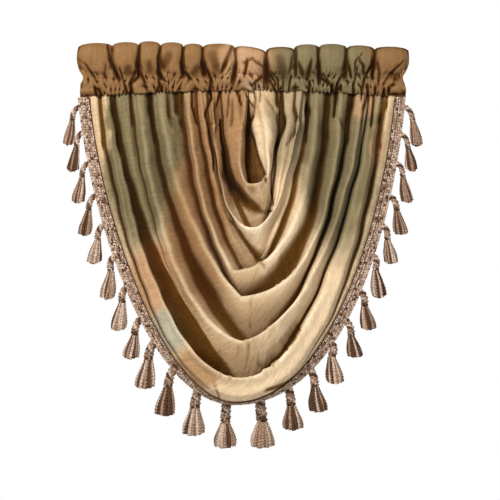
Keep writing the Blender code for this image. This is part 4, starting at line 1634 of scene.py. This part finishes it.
# How bright the white world is to everything but the camera, and the picture's gamma
WORLD_LIGHT = 0.14
VIEW_GAMMA = 0.8


def add_light(light, target):
    data = bpy.data.lights.new(light.name, "AREA")
    data.energy = light.power
    data.shape = "DISK"
    data.size = light.size
    thing = add_object(light.name, data)
    thing.location = light.place
    thing.rotation_euler = (target - thing.location).to_track_quat("-Z", "Y").to_euler()


def studio_world():
    """White to the camera, and a dimmer grey to everything that it lights."""
    world = bpy.data.worlds.new("studio")
    world.use_nodes = True
    tree = world.node_tree
    background = tree.nodes["Background"]
    rays = tree.nodes.new("ShaderNodeLightPath")
    strength = tree.nodes.new("ShaderNodeMapRange")
    strength.inputs["To Min"].default_value = WORLD_LIGHT
    strength.inputs["To Max"].default_value = 1.0
    tree.links.new(rays.outputs["Is Camera Ray"], strength.inputs["Value"])
    tree.links.new(strength.outputs["Result"], background.inputs["Strength"])
    background.inputs["Color"].default_value = (1.0, 1.0, 1.0, 1.0)
    bpy.context.scene.world = world


# The camera's sensor in millimetres, the middle of its view, and the floor
SENSOR_WIDTH = 36.0
VIEW_CENTRE = (17.25 * MM, -60 * MM, -480.7 * MM)
FLOOR_Z = -1.25
FLOOR_RADIUS = 3.0


class VALANCE_OT_stage(bpy.types.Operator):
    """Set the floor, the soft studio light and the camera"""

    bl_idname = "valance.stage"
    bl_label = "Stage"

    def execute(self, context):
        stage = context.scene.valance_stage
        bm = bmesh.new()
        bmesh.ops.create_circle(bm, cap_ends=True, radius=FLOOR_RADIUS, segments=96,
                                matrix=Matrix.Translation((0.0, 0.0, FLOOR_Z)))
        paint = Paint("floor_paint", Roughness=0.8)
        floor = make_object(bm, "floor", paint.wear((0.85, 0.85, 0.84)))
        centre = Vector(VIEW_CENTRE)
        data = bpy.data.cameras.new("camera")
        data.lens = stage.lens
        data.sensor_width = SENSOR_WIDTH
        data.clip_end = 100.0
        camera = add_object("camera", data)
        distance = stage.view_width * stage.lens / SENSOR_WIDTH
        camera.location = centre + Vector((0.0, -distance, 0.0))
        camera.rotation_euler = (math.pi / 2.0, 0.0, 0.0)
        context.scene.camera = camera
        for light in LIGHTS:
            add_light(light, centre)
        studio_world()
        context.scene.view_settings.view_transform = "Standard"
        context.scene.view_settings.gamma = VIEW_GAMMA
        return {"FINISHED"}


class VALANCE_PT_panel(bpy.types.Panel):
    """Lists the valance's pieces and settings."""

    bl_label = "Swag Valance"
    bl_idname = "VALANCE_PT_panel"
    bl_space_type = "VIEW_3D"
    bl_region_type = "UI"
    bl_category = "Valance"

    def draw(self, context):
        layout = self.layout
        for operator in OPERATORS:
            layout.operator(operator.bl_idname)
        for name, group in SETTINGS.items():
            settings = getattr(context.scene, name)
            for prop in group.__annotations__:
                layout.prop(settings, prop)


SETTINGS = {
    "valance_cloth": ClothSettings,
    "valance_trim": TrimSettings,
    "valance_stage": StageSettings,
}
OPERATORS = (
    VALANCE_OT_stage,
    VALANCE_OT_heading,
    VALANCE_OT_swag,
    VALANCE_OT_braid,
    VALANCE_OT_tassels,
)


def register():
    for name, group in SETTINGS.items():
        bpy.utils.register_class(group)
        setattr(bpy.types.Scene, name, PointerProperty(type=group))
    for operator in OPERATORS:
        bpy.utils.register_class(operator)
    bpy.utils.register_class(VALANCE_PT_panel)


def unregister():
    bpy.utils.unregister_class(VALANCE_PT_panel)
    for operator in reversed(OPERATORS):
        bpy.utils.unregister_class(operator)
    for name, group in reversed(SETTINGS.items()):
        delattr(bpy.types.Scene, name)
        bpy.utils.unregister_class(group)


def main():
    register()
    bpy.ops.valance.stage()
    bpy.ops.valance.heading()
    bpy.ops.valance.swag()
    bpy.ops.valance.braid()
    bpy.ops.valance.tassels()


if __name__ == "__main__":
    main()
